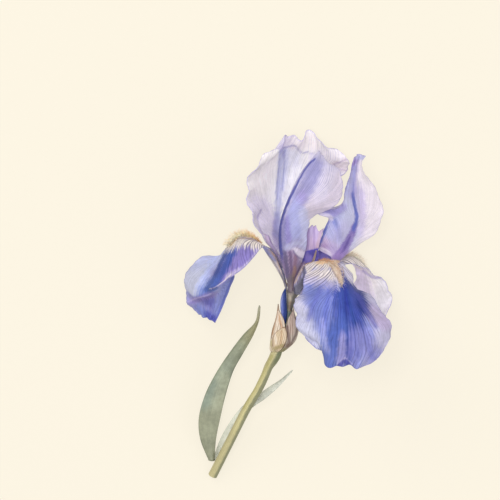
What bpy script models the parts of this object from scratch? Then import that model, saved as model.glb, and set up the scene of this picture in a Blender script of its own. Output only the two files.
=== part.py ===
"""A picked bearded iris lying on its back: stem, two leaves, spathe, bud, three falls with beards,
three standards, three style arms and three stamens. Metres, +Z up, picture side up."""

import math

import bmesh
import bpy
import numpy as np
from mathutils import Vector

# Sizes in millimetres. Points are measured from the flower's heart, where the petals meet the tube.
MM = 0.001
HEART = (7.35, 9.33, 45.0)
PETAL_THICK = 0.8
STYLE_THICK = 0.8
LEAF_THICK = 1.0
SPATHE_THICK = 0.7
SHEET_GAP = 0.35
BEARD_LOW = 0.8
BEARD_HIGH = 3.0
FLOOR = -45.0

# Rails of the falls, from claw to tip, listed left to right as one faces the upper side.
FALL_FRONT = (
    [(-3.9, -0.1, 4.2), (-3.5, 5.3, 8.1), (-0.8, 11.5, 14.6), (2.4, 16.6, 21), (3.0, 11, 28),
     (1.8, 2, 33), (-3.5, -7, 37), (-3.4, -17, 40), (0, -28, 43), (12, -38, 46)],
    [(-3.2, -0.3, 4.4), (-1.8, 5, 9.2), (2.5, 11.5, 15.8), (8, 18.3, 23.5), (12.5, 13.5, 33.5),
     (13, 3, 39.5), (11, -8, 45), (11, -22, 49), (13, -36, 50), (17.5, -47.5, 48)],
    [(-2.4, -0.5, 4.5), (0.5, 4.5, 9.4), (7, 12, 16), (15.5, 19, 25), (23.5, 14.2, 36),
     (26, 4.5, 43), (28, -8, 49), (29, -22, 53), (29, -37, 54), (27.5, -48.6, 50)],
    [(-1.6, -0.7, 4.2), (2.8, 4.2, 8.3), (11, 12, 13.5), (21.3, 19.4, 21.5), (28.8, 15, 31),
     (32, 5, 38.5), (37, -7, 44), (44, -20, 48), (46, -35, 49), (38, -48.8, 48)],
    [(-0.8, -0.9, 3.6), (5, 4.2, 6), (14, 11.5, 11), (25.5, 18.8, 17), (32, 13.8, 26),
     (36.8, 4, 32), (46, -5.5, 35), (55.5, -17, 38), (57.8, -31, 42), (47.5, -45.5, 46)],
)
FALL_LEFT = (
    [(-7.9, 1.3, -1.8), (-11, 12.5, -5), (-16, 24, -9), (-25, 29, -14), (-38, 27.5, -18),
     (-52, 22, -17), (-65, 20.8, -13), (-73, 12.5, -10), (-75, 2, -10), (-73.5, -6, -10),
     (-72.5, -10.5, -11), (-66, -14.5, -12)],
    [(-8.5, 1.2, -1.0), (-12.5, 11.3, -2.7), (-18.5, 22.8, -5), (-26.5, 31, -7), (-38, 33.5, -8),
     (-49, 24.5, -7), (-59, 17, -4), (-67.5, 7, -1), (-69.5, -3, -0.5), (-67, -8, -5),
     (-66.5, -12, -8), (-64, -17, -10)],
    [(-8.7, 1.2, 0), (-13.1, 10.2, 0), (-20, 21.3, 0), (-27.5, 31.6, 0.5), (-37.5, 35.4, 2),
     (-46.5, 28.5, 5), (-54, 15.5, 8), (-61.5, 3, 8), (-64, -3.6, 5), (-61, -6.5, -1),
     (-61, -12.5, -5.5), (-61, -18.2, -9)],
    [(-8.6, 1.2, 0.9), (-13, 11.3, 2.6), (-18.8, 22.5, 4.8), (-26, 30.5, 7), (-36, 29.5, 11.5),
     (-44, 21.5, 15), (-51.5, 11.5, 16.5), (-59.2, 1.5, 12.5), (-57, -2, 6), (-52, -1, -1),
     (-54.5, -11, -5.5), (-58, -19.6, -8.8)],
    [(-8.2, 1.3, 1.7), (-12, 12.4, 4.4), (-17, 23.6, 8), (-24, 28, 11.5), (-30, 21.5, 16.5),
     (-38, 13.2, 20), (-47.5, 6.4, 21.5), (-57.5, 1.2, 16.5), (-50.5, 6.5, 8.5), (-43, 9.6, 0),
     (-48.5, -7, -5), (-55, -21.3, -8.5)],
)
FALL_BACK = (
    [(-1.0, -0.8, -3.8), (9, 6, -6), (20, 13, -9), (33, 17, -13), (43, 13.2, -18),
     (51, 9, -24), (59, 0, -30), (60, -9, -35), (54, -24, -38)],
    [(-1.6, -0.5, -4.5), (8.5, 7.5, -7.5), (19, 15.5, -11.5), (32.5, 20.6, -16.5), (42.5, 16, -23.5),
     (48, 8, -30), (52, -3, -36), (52, -15, -40), (46, -32, -40.5)],
    [(-2.2, -0.3, -4.7), (7, 8.5, -9), (17.5, 17, -14), (31, 22, -20), (39.5, 17.5, -28.5),
     (43, 7, -36), (43, -6, -42.5), (41, -20, -45), (37, -38, -42.5)],
    [(-2.8, -0.1, -4.6), (5.5, 9.8, -10.2), (16, 18, -16.5), (29, 20.5, -23), (37, 17, -31),
     (39, 7.5, -38), (35, -6, -44), (31, -20, -45.2), (29, -37, -43)],
    [(-3.5, 0.1, -4.2), (4, 11, -10.5), (14, 18.5, -18), (27, 18, -26), (34, 15.5, -33),
     (36, 7.5, -39), (28, -6, -43.5), (21, -19, -44.5), (23, -33, -43)],
)
# Outline of a broad tip, left to right, where it has more lobes than rails.
FRONT_TIP = [(12, -38, 46), (14, -42.5, 47), (15.2, -46.3, 48), (18.5, -49, 48.5), (23, -48, 49), (27, -49.4, 50),
             (32, -48, 50), (35, -50, 49), (40, -49, 48), (44.5, -47, 47), (48.5, -44.5, 46)]

# Rails of the standards, from claw to tip.
STANDARD_FRONT = (
    [(-7.5, 1, 2.8), (-8.9, 10, 3.4), (-10.6, 19, 4.6), (-11.6, 29, 5.2), (-10.5, 39, 5.5),
     (-7.5, 49, 6.5), (-2, 60, 8), (4, 71, 11), (9, 80, 15), (12, 88, 21)],
    [(-7.0, 0.8, 3.6), (-9.1, 10, 6), (-11.3, 19, 9.5), (-12.7, 29, 13), (-12.5, 39, 17),
     (-10, 49.5, 20), (-5, 60.5, 23), (0.7, 72, 24), (6.3, 81.5, 24), (12, 88.8, 23.5)],
    [(-6.4, 0.7, 4.2), (-9.3, 9, 8.7), (-11.6, 18, 14), (-13.1, 28, 20), (-13.2, 38, 26),
     (-11, 48.5, 30), (-6.5, 60, 33), (-1, 72, 33), (5.2, 81.4, 30), (12.4, 89.5, 25)],
    [(-5.8, 0.6, 4.4), (-6.2, 8.8, 9.7), (-5.5, 18, 17.5), (-4.8, 28, 24), (-4, 38, 30),
     (-0.5, 48, 34), (8, 57, 36), (14, 69, 36), (15.5, 79, 32), (14, 87.5, 26)],
    [(-5.3, 0.5, 4.4), (-3.4, 9, 8.6), (1.4, 19.5, 15.5), (4.1, 29.4, 20), (4.6, 38.5, 24),
     (7.3, 46, 27), (20.5, 53.7, 28), (27.8, 64, 28), (25, 76.7, 26), (16, 84.5, 24.5)],
)
STANDARD_RIGHT = (
    [(-0.6, -0.7, 1.6), (7.3, 8.3, 3.4), (14.5, 15.6, 5), (20.3, 21, 6), (11.8, 27, 9),
     (14.5, 37.5, 12), (18.5, 46.5, 15), (11, 50, 20), (22.5, 54.5, 18), (28, 63.5, 14),
     (31.2, 73, 9), (34.8, 85, 3)],
    [(-0.4, -0.8, 0.9), (7.8, 7.5, 2.5), (15.4, 14.4, 3.8), (22, 21, 5.2), (21, 29, 8),
     (25, 38.5, 11), (28, 47, 13), (27, 52, 14), (29, 57.5, 13), (31, 65.5, 11),
     (32.8, 75, 7), (35.4, 86, 2.6)],
    [(-0.3, -0.9, 0), (8, 6.5, 1), (16, 13.2, 2), (24, 20, 3), (30, 30, 3),
     (35, 39.5, 3), (37, 47, 4), (35.8, 53, 5), (34.6, 59, 5), (34.3, 67, 5),
     (34.8, 76, 4), (36.4, 87, 2)],
    [(-0.3, -1, -0.9), (9, 5.8, -0.5), (17.5, 12.6, 0), (27, 20.6, 0.5), (35, 30.5, 0),
     (42.5, 40, -1), (45.5, 49, -1), (44.5, 56, -1), (43, 63, -1), (41, 70.5, -1),
     (38, 79, 0), (38.6, 88.4, 0)],
    [(-0.4, -0.9, -1.6), (9.5, 5.6, -2), (18.5, 12.2, -2), (29, 22, -2.5), (40, 30.8, -4),
     (49.6, 37.6, -7), (53.3, 47, -8), (53.3, 57, -8), (49, 65, -7), (45, 73, -6),
     (40.2, 80, -3), (41.6, 86.3, -2)],
)
STANDARD_BACK = (
    [(-7.3, 0.9, -3.2), (-8.8, 9, -5), (-10.8, 16.5, -7), (-15, 24.5, -8.5), (-23, 32, -9),
     (-28.5, 42, -9), (-32.3, 51, -10), (-33.5, 60, -11), (-34.8, 69, -12), (-31.5, 78, -13),
     (-24, 86.5, -15)],
    [(-6.7, 0.7, -3.9), (-8, 9, -7), (-10, 17, -10), (-13, 26, -14), (-19, 35, -18),
     (-22.5, 45, -22), (-24.5, 54, -25), (-25, 63.5, -27), (-25, 73, -27), (-22.5, 83, -25),
     (-16, 91.5, -21)],
    [(-6.0, 0.6, -4.5), (-7.5, 8.5, -8.5), (-9.5, 17, -13.5), (-12, 27, -20), (-13.5, 37, -28),
     (-14, 47, -35), (-13.5, 57, -41), (-12.5, 67, -44.2), (-12, 78, -43.5), (-11.5, 89, -39),
     (-9, 100.5, -31)],
    [(-5.3, 0.4, -4.6), (-5.5, 8.5, -8.5), (-5.5, 17, -13), (-5, 27, -19.5), (-4, 37, -27),
     (-2, 46.5, -34), (2, 56, -40), (6, 66, -44), (9, 78, -44.8), (10, 90, -40),
     (6.5, 103.5, -31)],
    [(-4.6, 0.3, -4.3), (-3.5, 8.5, -7.5), (-2.5, 17, -10.5), (-1, 26.5, -14.5), (1, 36, -20),
     (4, 45.5, -26), (11, 56, -31), (19, 65.5, -34), (29, 76, -35), (32.8, 84, -33),
     (24, 91.3, -30)],
)
BACK_TIP = [(-24, 86.5, -15), (-18.5, 90.2, -18), (-12.2, 93, -22), (-9.5, 100.4, -25), (-4.2, 101, -27),
            (1.3, 98.4, -29), (6.5, 104.2, -30), (11.5, 99.5, -30), (17.5, 92.6, -30), (24.5, 91.4, -30)]

# Rails of the style arms, from tube to the crest's teeth.
STYLE_FRONT = (
    [(-4.7, 0.4, 1.5), (-3.0, 8, 5.2), (0.2, 15, 9), (2.6, 21.5, 12), (3.4, 25.5, 15),
     (4.1, 32, 17), (4.8, 39.2, 17)],
    [(-3.6, 0.1, 2.0), (-0.3, 8.3, 5), (5, 16, 7.5), (8.5, 22, 9.5), (8.6, 26, 14),
     (8.8, 33, 17.5), (9.3, 41.5, 17)],
    [(-2.7, -0.1, 1.5), (1.8, 7.2, 3.6), (8.5, 15, 5.5), (12, 21, 8), (11, 26, 13),
     (12, 33, 16.5), (14, 39, 16)],
)
CREST_TIP = [(4.4, 38.6, 17), (5.2, 39.6, 17.2), (6.6, 41.2, 17.4), (8, 42.2, 17.4), (8.7, 41, 17.2), (10, 42, 17),
             (10.8, 40, 16.8), (12, 38, 16.6), (13.1, 38.8, 16.4), (14.6, 40, 16.2)]
STYLE_LEFT = (
    [(-5.4, 0.6, -1.3), (-7.6, 9.5, -3), (-11, 18, -4.2), (-15.5, 26, -5), (-18.5, 31, -5.5),
     (-20, 35, -6)],
    [(-6.0, 0.7, 0), (-8.4, 9.2, -0.4), (-13, 17.5, -0.6), (-18, 26, -1), (-21.5, 31, -1.5),
     (-23, 36.5, -3)],
    [(-5.5, 0.6, 1.2), (-7.8, 9, 1.8), (-11.5, 17.5, 2.4), (-16, 25.5, 2.8), (-19, 31, 2.4),
     (-20.5, 35, 1)],
)
STYLE_BACK = (
    [(-4.6, 0.4, -1.6), (0.6, 10.8, -5.5), (8, 21, -9), (16, 29, -13), (22, 33, -17),
     (25, 37, -20), (27, 43, -21)],
    [(-3.7, 0.1, -2.0), (3.6, 9, -4.6), (13, 17.8, -8), (22, 24.5, -11.5), (27, 28.5, -16),
     (29.5, 33.5, -19), (32, 41, -20)],
    [(-2.7, -0.1, -1.6), (6.5, 8, -3.2), (16.5, 15.5, -4.8), (25, 21.5, -7), (30.5, 26, -11),
     (33.5, 31, -14), (37, 38, -15)],
)

# Paths of the stamens: foot, filament and anther's tip.
STAMEN_PATHS = {
    "front": [(-3.0, 0, 3.2), (1.2, 7.6, 7.6), (6.4, 15, 12.5), (8.6, 19.5, 15.2), (10.4, 25.8, 17.6)],
    "left": [(-7.3, 1.2, 0), (-10.3, 7.4, 0), (-12.8, 12.6, 0), (-15.4, 17.2, 0.2), (-18.4, 22.4, 0.4)],
    "back": [(-2.9, 0.1, -3.3), (2.4, 7.4, -6.3), (7, 12.2, -8.6), (10.8, 15.6, -10.2), (14.6, 18.8, -11.6)],
}

# The tube, the stem and the bud: points down their middles, each with its radius.
TUBE_PATH = [
    (-4.55, -0.45, 0), (-4.9, -1.9, 0), (-5.5, -4.6, 0), (-6.2, -8.4, 0), (-7.1, -12.5, 0),
    (-7.8, -17.5, 0), (-8.8, -24, 0), (-10.4, -30, 0), (-12.8, -36, 0), (-14.4, -39.4, 0),
]
TUBE_RADII = [4.9, 4.2, 2.9, 2.2, 1.8, 2.4, 3.2, 3.1, 2.4, 2.0]
STEM_PATH = [
    (-15.1, -41, 0), (-15.1, -42.5, 0), (-17.2, -46, -2.4), (-20.2, -50, -5), (-22.6, -55.5, -7.6), (-25.1, -61, -10.4),
    (-28.2, -67, -13.6), (-32, -73, -16.8), (-36.5, -81, -21), (-43, -94, -27.6), (-50, -108, -35), (-57, -122, -42.4),
]
STEM_RADII = [4.7, 3.9, 3.0, 2.75, 2.75, 2.8, 2.75, 2.8, 2.85, 2.9, 2.95, 3.0]
BUD_PATH = [(-9.6, 1, 3.2), (-10.1, -2, 3.2), (-10.6, -6, 3.2), (-10.7, -10.5, 3.3), (-10.3, -16, 3.7), (-10.4, -21.5, 4.3)]
BUD_RADII = [0.35, 1.1, 1.8, 2.0, 1.5, 0.8]

# The spathe's middle line, its half width, and each valve's height and half angle.
SPATHE_PATH = [(-15, -40.1, 0), (-13.9, -38, 0), (-11.6, -34, 0), (-10.4, -30, 0), (-9.4, -25, 0), (-9, -20, 0),
               (-9.2, -15, 0), (-9.3, -9, 0)]
SPATHE_HALF = [4.3, 5.4, 7.1, 7.8, 7.7, 6.4, 5.0, 4.2]

LEAF_LEFT = (
    [(-27, -11.5, -12), (-29, -21, -13), (-37, -29.5, -15.5), (-46.5, -42, -18.5), (-55, -55, -22),
     (-62, -69, -26), (-66, -84, -31), (-65, -98, -36), (-59.5, -112, -40)],
    [(-26.3, -10, -11.5), (-27.8, -20.5, -12), (-34, -31, -14), (-42, -43, -17), (-49.5, -55, -20.5),
     (-55.5, -69, -25), (-59, -84, -30), (-59.8, -98, -34.5), (-57.2, -112.5, -38.2)],
    [(-25.8, -11.5, -12), (-27, -20.5, -13), (-31, -30.5, -15.5), (-37.5, -42, -18.5), (-43.5, -53, -22),
     (-48.5, -69, -26), (-52, -84, -30.5), (-54.8, -98, -35), (-56, -112, -40)],
)
LEAF_RIGHT = (
    [(-5, -52.2, -15), (-13, -59, -17), (-20, -63.5, -19), (-28, -69.5, -22.5), (-36, -75, -26.5),
     (-44.5, -85, -32), (-52, -98, -37.5), (-57, -112, -43)],
    [(-4.5, -52.5, -14.8), (-13.5, -61, -16.4), (-21.5, -66.7, -18.6), (-30, -73, -22.4), (-38, -80, -26.8),
     (-44.5, -90, -33), (-50, -101, -38), (-54.2, -113, -43.4)],
    [(-5.4, -54, -15), (-14, -63.5, -17), (-22.5, -71, -19), (-31, -77, -22.5), (-37.5, -84, -27),
     (-43.5, -93.5, -33), (-48, -103, -38), (-51.5, -114, -43)],
)


def clear_scene():
    for thing in list(bpy.data.objects):
        bpy.data.objects.remove(thing)


def paint(name, colour, roughness):
    material = bpy.data.materials.new(name)
    material.use_nodes = True
    shader = material.node_tree.nodes["Principled BSDF"]
    shader.inputs["Base Color"].default_value = (*colour, 1)
    shader.inputs["Roughness"].default_value = roughness
    shader.inputs["Metallic"].default_value = 0
    return material


def world(point):
    return Vector([(point[i] + HEART[i]) * MM for i in range(3)])


def on_curve(points, t):
    """The point at t, from 0 to 1, on a smooth curve through the points."""
    points = np.asarray(points, float)
    ends = 2 * points[0] - points[1], 2 * points[-1] - points[-2]
    points = np.vstack([ends[0], points, ends[1]])
    spans = len(points) - 3
    at = min(max(t, 0), 1) * spans
    i = min(int(at), spans - 1)
    s = at - i
    a, b, c, d = points[i : i + 4]
    return 0.5 * (2 * b + (c - a) * s + (2 * a - 5 * b + 4 * c - d) * s**2 + (3 * b - a - 3 * c + d) * s**3)


def on_rails(rails, u, v, tip=None):
    point = on_curve([on_curve(rail, u) for rail in rails], v)
    if tip and u > 0.8:
        end = on_curve([rail[-1] for rail in rails], v)
        point = point + (on_curve(tip, v) - end) * ((u - 0.8) / 0.2) ** 1.5
    return point


def normal_at(rails, u, v):
    step = 0.004
    along = on_rails(rails, min(u + step, 1), v) - on_rails(rails, max(u - step, 0), v)
    across = on_rails(rails, u, min(v + step, 1)) - on_rails(rails, u, max(v - step, 0))
    out = np.cross(along, across)
    return out / max(np.linalg.norm(out), 1e-9)


def smooth(t):
    t = min(max(t, 0), 1)
    return t * t * (3 - 2 * t)


def ruffle(u, v, height, waves):
    """How far the sheet is lifted at u, v: waves along both margins and the tip, none in the claw."""
    edge = smooth((abs(2 * v - 1) - 0.45) / 0.55)
    tip = smooth((u - 0.82) / 0.18) * (1 - edge)
    side = 1.3 if v > 0.5 else 0.2
    rise = smooth((u - 0.3) / 0.3)
    lift = edge * math.sin(2 * math.pi * (waves * u + side)) + tip * math.sin(2 * math.pi * (3 * v + 0.15))
    return height * rise * lift


def sheet_point(rails, u, v, height=0.0, waves=5.0, lift=0.0, tip=None):
    point = on_rails(rails, u, v, tip)
    if height or lift:
        point = point + normal_at(rails, u, v) * (ruffle(u, v, height, waves) + lift)
    return point


def new_object(name, mesh, material):
    node = bpy.data.objects.new(name, mesh)
    bpy.context.scene.collection.objects.link(node)
    mesh.materials.append(material)
    mesh.shade_smooth()
    return node


def sheet(name, rails, cells, thick, material, height=0.0, waves=5.0, tip=None):
    """A blade of even thickness on its rails, split into triangles before it is thickened."""
    across, along = cells
    mesh = bpy.data.meshes.new(name)
    built = bmesh.new()
    bmesh.ops.create_grid(built, x_segments=across, y_segments=along, size=1)
    for vertex in built.verts:
        u = (vertex.co.y + 1) / 2
        v = (vertex.co.x + 1) / 2
        point = sheet_point(rails, u, v, height, waves, 0, tip)
        point[2] = max(point[2], FLOOR + thick / 2)
        vertex.co = world(point)
    bmesh.ops.triangulate(built, faces=built.faces, quad_method="FIXED")
    built.to_mesh(mesh)
    built.free()
    node = new_object(name, mesh, material)
    blade = node.modifiers.new("Thickness", "SOLIDIFY")
    blade.thickness = thick * MM
    blade.offset = 0
    return node


def beard(name, rails, cells, rows, material, height, waves):
    """A ridge of bristles on a fall's midrib, just clear of its upper side and parallel to its facets."""
    across, along = cells
    tufts_across, tufts_along = 4, 2 * (rows[1] - rows[0])
    clear = PETAL_THICK / 2 + SHEET_GAP

    def over_vertex(i, j):
        return sheet_point(rails, i / along, 0.5 + j / across, height, waves, clear)

    mesh = bpy.data.meshes.new(name)
    built = bmesh.new()
    bmesh.ops.create_grid(built, x_segments=tufts_across, y_segments=tufts_along, size=1)
    weights = []
    for vertex in built.verts:
        row = rows[0] + (vertex.co.y + 1) * (rows[1] - rows[0]) / 2
        column = vertex.co.x
        low, left = min(int(row + 1e-4), rows[1] - 1), min(int(column + 1 + 1e-4), 1) - 1
        s, t = row - low, column - left
        near = over_vertex(low, left) * (1 - t) + over_vertex(low, left + 1) * t
        far = over_vertex(low + 1, left) * (1 - t) + over_vertex(low + 1, left + 1) * t
        vertex.co = world(near * (1 - s) + far * s)
        tuft = round(2 * row + 2 * column) % 2
        middle = (row - rows[0]) / (rows[1] - rows[0])
        weights.append((0.3 + 0.7 * tuft) * (1 - column * column) * min(1, 5 * middle, 5 * (1 - middle)))
    bmesh.ops.triangulate(built, faces=built.faces, quad_method="FIXED")
    built.to_mesh(mesh)
    built.free()
    node = new_object(name, mesh, material)
    tufts = node.vertex_groups.new(name="Tufts")
    for i, weight in enumerate(weights):
        tufts.add([i], weight, "REPLACE")
    ridge = node.modifiers.new("Bristles", "SOLIDIFY")
    ridge.thickness = BEARD_HIGH * MM
    ridge.offset = -1
    ridge.vertex_group = "Tufts"
    ridge.thickness_vertex_group = BEARD_LOW / BEARD_HIGH
    return node


def rod(name, path, radii, material, sides=12, steps=24):
    """A closed round rod along a smooth curve, with a radius given at each point of its path."""
    mesh = bpy.data.meshes.new(name)
    built = bmesh.new()
    radii = np.array([(r, 0, 0) for r in radii], float)
    rings = []
    for i in range(steps + 1):
        t = i / steps
        middle = on_curve(path, t)
        ahead = Vector(on_curve(path, min(t + 0.01, 1)) - on_curve(path, max(t - 0.01, 0))).normalized()
        one = ahead.cross(Vector((0, 0, 1))).normalized()
        two = ahead.cross(one)
        r = float(on_curve(radii, t)[0])
        ring = []
        for k in range(sides):
            turn = 2 * math.pi * k / sides
            point = Vector(middle) + r * (math.cos(turn) * one + math.sin(turn) * two)
            ring.append(built.verts.new(world((point.x, point.y, max(point.z, FLOOR)))))
        rings.append(ring)
    for low, high in zip(rings, rings[1:]):
        for k in range(sides):
            built.faces.new((low[k], low[(k + 1) % sides], high[(k + 1) % sides], high[k]))
    built.faces.new(rings[0])
    built.faces.new(rings[-1][::-1])
    bmesh.ops.recalc_face_normals(built, faces=built.faces)
    bmesh.ops.triangulate(built, faces=built.faces, quad_method="FIXED")
    built.to_mesh(mesh)
    built.free()
    return new_object(name, mesh, material)


def valve(name, facing, halves, length, extra, material, cells=(10, 12)):
    """A papery valve round the ovary: facing is its middle's angle, halves its half angles from foot to tip."""
    across, along = cells
    mesh = bpy.data.meshes.new(name)
    built = bmesh.new()
    bmesh.ops.create_grid(built, x_segments=across, y_segments=along, size=1)
    for vertex in built.verts:
        t = length[0] + (length[1] - length[0]) * (vertex.co.y + 1) / 2
        s = (vertex.co.y + 1) / 2
        half = on_curve([(h, 0, 0) for h in halves], s)[0]
        radius = on_curve([(h, 0, 0) for h in SPATHE_HALF], t)[0] + extra
        turn = math.radians(facing + half * vertex.co.x)
        middle = on_curve(SPATHE_PATH, t)
        point = (middle[0] + radius * math.cos(turn), middle[1], middle[2] + 0.95 * radius * math.sin(turn))
        vertex.co = world(point)
    bmesh.ops.triangulate(built, faces=built.faces, quad_method="FIXED")
    built.to_mesh(mesh)
    built.free()
    node = new_object(name, mesh, material)
    blade = node.modifiers.new("Thickness", "SOLIDIFY")
    blade.thickness = SPATHE_THICK * MM
    blade.offset = 0
    return node


def build_petals():
    deep = paint("fall_blue", (0.075, 0.085, 0.42), 0.6)
    pale = paint("standard_lavender", (0.42, 0.41, 0.68), 0.6)
    gold = paint("beard_gold", (0.62, 0.33, 0.07), 0.8)
    crest = paint("style_lavender", (0.33, 0.24, 0.5), 0.6)
    tan = paint("anther_tan", (0.5, 0.36, 0.22), 0.7)
    sheet("fall_front", FALL_FRONT, (14, 24), PETAL_THICK, deep, 1.6, 6, FRONT_TIP)
    sheet("fall_left", FALL_LEFT, (14, 24), PETAL_THICK, deep, 0.8, 6)
    sheet("fall_back", FALL_BACK, (12, 20), PETAL_THICK, deep, 1.2, 6)
    sheet("standard_front", STANDARD_FRONT, (14, 20), PETAL_THICK, pale, 1.0, 5)
    sheet("standard_right", STANDARD_RIGHT, (14, 24), PETAL_THICK, pale, 1.0, 6)
    sheet("standard_back", STANDARD_BACK, (16, 22), PETAL_THICK, pale, 1.4, 6, BACK_TIP)
    beard("beard_front", FALL_FRONT, (14, 24), (5, 14), gold, 1.6, 6)
    beard("beard_left", FALL_LEFT, (14, 24), (6, 11), gold, 0.8, 6)
    beard("beard_back", FALL_BACK, (12, 20), (6, 11), gold, 1.2, 6)
    sheet("style_front", STYLE_FRONT, (10, 12), STYLE_THICK, crest, tip=CREST_TIP)
    sheet("style_left", STYLE_LEFT, (6, 10), STYLE_THICK, crest)
    sheet("style_back", STYLE_BACK, (6, 12), STYLE_THICK, crest)
    for side, path in STAMEN_PATHS.items():
        rod("stamen_" + side, path, [0.4, 0.4, 0.5, 0.9, 0.5], tan, 8, 12)


def build_stem():
    green = paint("stem_green", (0.30, 0.33, 0.10), 0.55)
    leaf = paint("leaf_green", (0.20, 0.27, 0.20), 0.6)
    paper = paint("spathe_tan", (0.42, 0.30, 0.22), 0.8)
    blue = paint("bud_blue", (0.10, 0.11, 0.36), 0.6)
    rod("stem", STEM_PATH, STEM_RADII, green, 14, 22)
    rod("perianth_tube", TUBE_PATH, TUBE_RADII, green, 14, 18)
    rod("bud", BUD_PATH, BUD_RADII, blue, 10, 14)
    valve("spathe_left", 180, [100, 95, 90, 80, 62, 6], (0, 1), 0.6, paper)
    valve("spathe_right", 0, [74, 66, 78, 86, 60, 6], (0, 0.93), 0.6, paper)
    valve("bract_front", 106, [30, 40, 44, 40, 10], (0.1, 0.52), 2.0, paper, (6, 8))
    sheet("leaf_left", LEAF_LEFT, (6, 18), LEAF_THICK, leaf)
    sheet("leaf_right", LEAF_RIGHT, (6, 16), LEAF_THICK, leaf)


clear_scene()
build_petals()
build_stem()
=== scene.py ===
import math
import random

import bpy
import numpy as np
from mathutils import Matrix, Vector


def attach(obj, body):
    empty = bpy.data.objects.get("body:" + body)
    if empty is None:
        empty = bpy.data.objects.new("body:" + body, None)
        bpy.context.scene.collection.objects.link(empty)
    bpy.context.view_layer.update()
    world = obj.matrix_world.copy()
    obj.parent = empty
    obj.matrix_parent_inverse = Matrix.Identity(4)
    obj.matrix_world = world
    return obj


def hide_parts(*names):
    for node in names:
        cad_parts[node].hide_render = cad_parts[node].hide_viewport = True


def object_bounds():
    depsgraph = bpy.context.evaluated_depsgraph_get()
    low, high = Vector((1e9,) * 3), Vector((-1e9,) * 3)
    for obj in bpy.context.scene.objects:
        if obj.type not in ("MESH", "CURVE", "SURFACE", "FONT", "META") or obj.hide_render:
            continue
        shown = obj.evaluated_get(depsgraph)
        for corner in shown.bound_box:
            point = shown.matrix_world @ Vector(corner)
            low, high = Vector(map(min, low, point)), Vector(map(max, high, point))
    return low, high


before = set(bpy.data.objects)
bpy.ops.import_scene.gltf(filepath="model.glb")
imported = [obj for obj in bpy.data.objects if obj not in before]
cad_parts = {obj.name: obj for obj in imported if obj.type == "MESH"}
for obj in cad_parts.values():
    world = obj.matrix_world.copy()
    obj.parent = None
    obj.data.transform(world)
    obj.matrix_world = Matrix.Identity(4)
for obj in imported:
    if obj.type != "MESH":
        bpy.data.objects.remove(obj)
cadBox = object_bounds()
bpy.ops.object.select_all(action="DESELECT")
print("frame loaded:", len(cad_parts), "solids")

mm = 0.001
heart = np.array((7.35, 9.33, 45.0))  # where the petals meet the tube; every point below is measured from it


# Studio: camera straight above the flower, pale floor, soft light.

studio = {
    "middle": (-25.15, 35.33, 45),   # centre of the picture, mm
    "pictureWidth": 325, "cameraHeight": 4000, "sensor": 36,   # mm
    "clipEnd": 60, "floorSize": 7,   # m
    "floor": (250, 243, 226), "floorShare": 0.13, "floorGlow": 0.805,
    "fleck": (0.3, 0.28, 0.24, 1), "fleckShare": 0.04, "fleckScale": 260,
    "sky": (255, 254, 251), "skyStrength": 0.78,
    "lights": [
        # place in metres, size, watts, colour
        ((-0.75, 0.75, 1.15), 0.9, 8.0, (255, 250, 242)),
        ((-0.15, 0.15, 2.2), 0.7, 24.0, (255, 253, 250)),
        ((0.9, -0.3, 1.0), 1.2, 5.2, (250, 250, 255)),
    ],
}


def ink(colour):
    # a screen colour, 0 to 255, as the linear light that materials take
    part = np.asarray(colour, float) / 255
    return np.where(part <= 0.04045, part / 12.92, ((part + 0.055) / 1.055) ** 2.4)


def setStudio():
    scene = bpy.context.scene
    scene.view_settings.view_transform = "Standard"
    lens = bpy.data.cameras.new("camera")
    lens.sensor_width = studio["sensor"]
    lens.lens = studio["sensor"] * studio["cameraHeight"] / studio["pictureWidth"]
    lens.clip_end = studio["clipEnd"]
    camera = bpy.data.objects.new("camera", lens)
    x, y, z = studio["middle"]
    camera.location = (x * mm, y * mm, (z + studio["cameraHeight"]) * mm)
    scene.collection.objects.link(camera)
    scene.camera = camera

    sky = bpy.data.worlds.new("sky")
    sky.use_nodes = True
    air = sky.node_tree.nodes["Background"]
    air.inputs["Color"].default_value = (*ink(studio["sky"]), 1)
    air.inputs["Strength"].default_value = studio["skyStrength"]
    scene.world = sky
    for i, (place, size, watts, colour) in enumerate(studio["lights"]):
        bpy.ops.object.light_add(type="AREA", location=place)
        lamp = bpy.context.object
        lamp.name = "softbox" + str(i)
        lamp.data.shape = "SQUARE"
        lamp.data.size = size
        lamp.data.energy = watts
        lamp.data.color = ink(colour)
        x, y, z = place
        lamp.rotation_euler = (math.atan2(math.hypot(x, y), z), 0, math.atan2(x, -y))  # faces the flower
    bpy.ops.mesh.primitive_plane_add(size=studio["floorSize"], location=(0, 0, 0))
    floor = bpy.context.object
    floor.name = "floor"
    return floor


# Curves and sheets: a smooth curve through given points, and a net of such curves.

def curveWeights(count, t):
    # how much each of count points weighs at each t, 0 to 1
    at = np.clip(np.asarray(t, float), 0, 1) * (count - 1)
    i = np.minimum(at.astype(int), count - 2)
    s = at - i
    rows = np.arange(len(at))
    w = np.zeros((len(at), count + 2))
    w[rows, i] = 0.5 * (-s + 2 * s**2 - s**3)
    w[rows, i + 1] = 0.5 * (2 - 5 * s**2 + 3 * s**3)
    w[rows, i + 2] = 0.5 * (s + 4 * s**2 - 3 * s**3)
    w[rows, i + 3] = 0.5 * (s**3 - s**2)
    inner = w[:, 1:-1].copy()
    inner[:, 0] += 2 * w[:, 0]
    inner[:, 1] -= w[:, 0]
    inner[:, -1] += 2 * w[:, -1]
    inner[:, -2] -= w[:, -1]
    return inner


def onCurve(points, t):
    points = np.asarray(points, float)
    if points.ndim == 1:
        points = points[:, None]
    return curveWeights(len(points), t) @ points


def lengthOf(points):
    return np.linalg.norm(np.diff(points, axis=0), axis=1).sum()


def unit(vectors):
    return vectors / np.maximum(np.linalg.norm(vectors, axis=1), 1e-9)[:, None]


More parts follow.
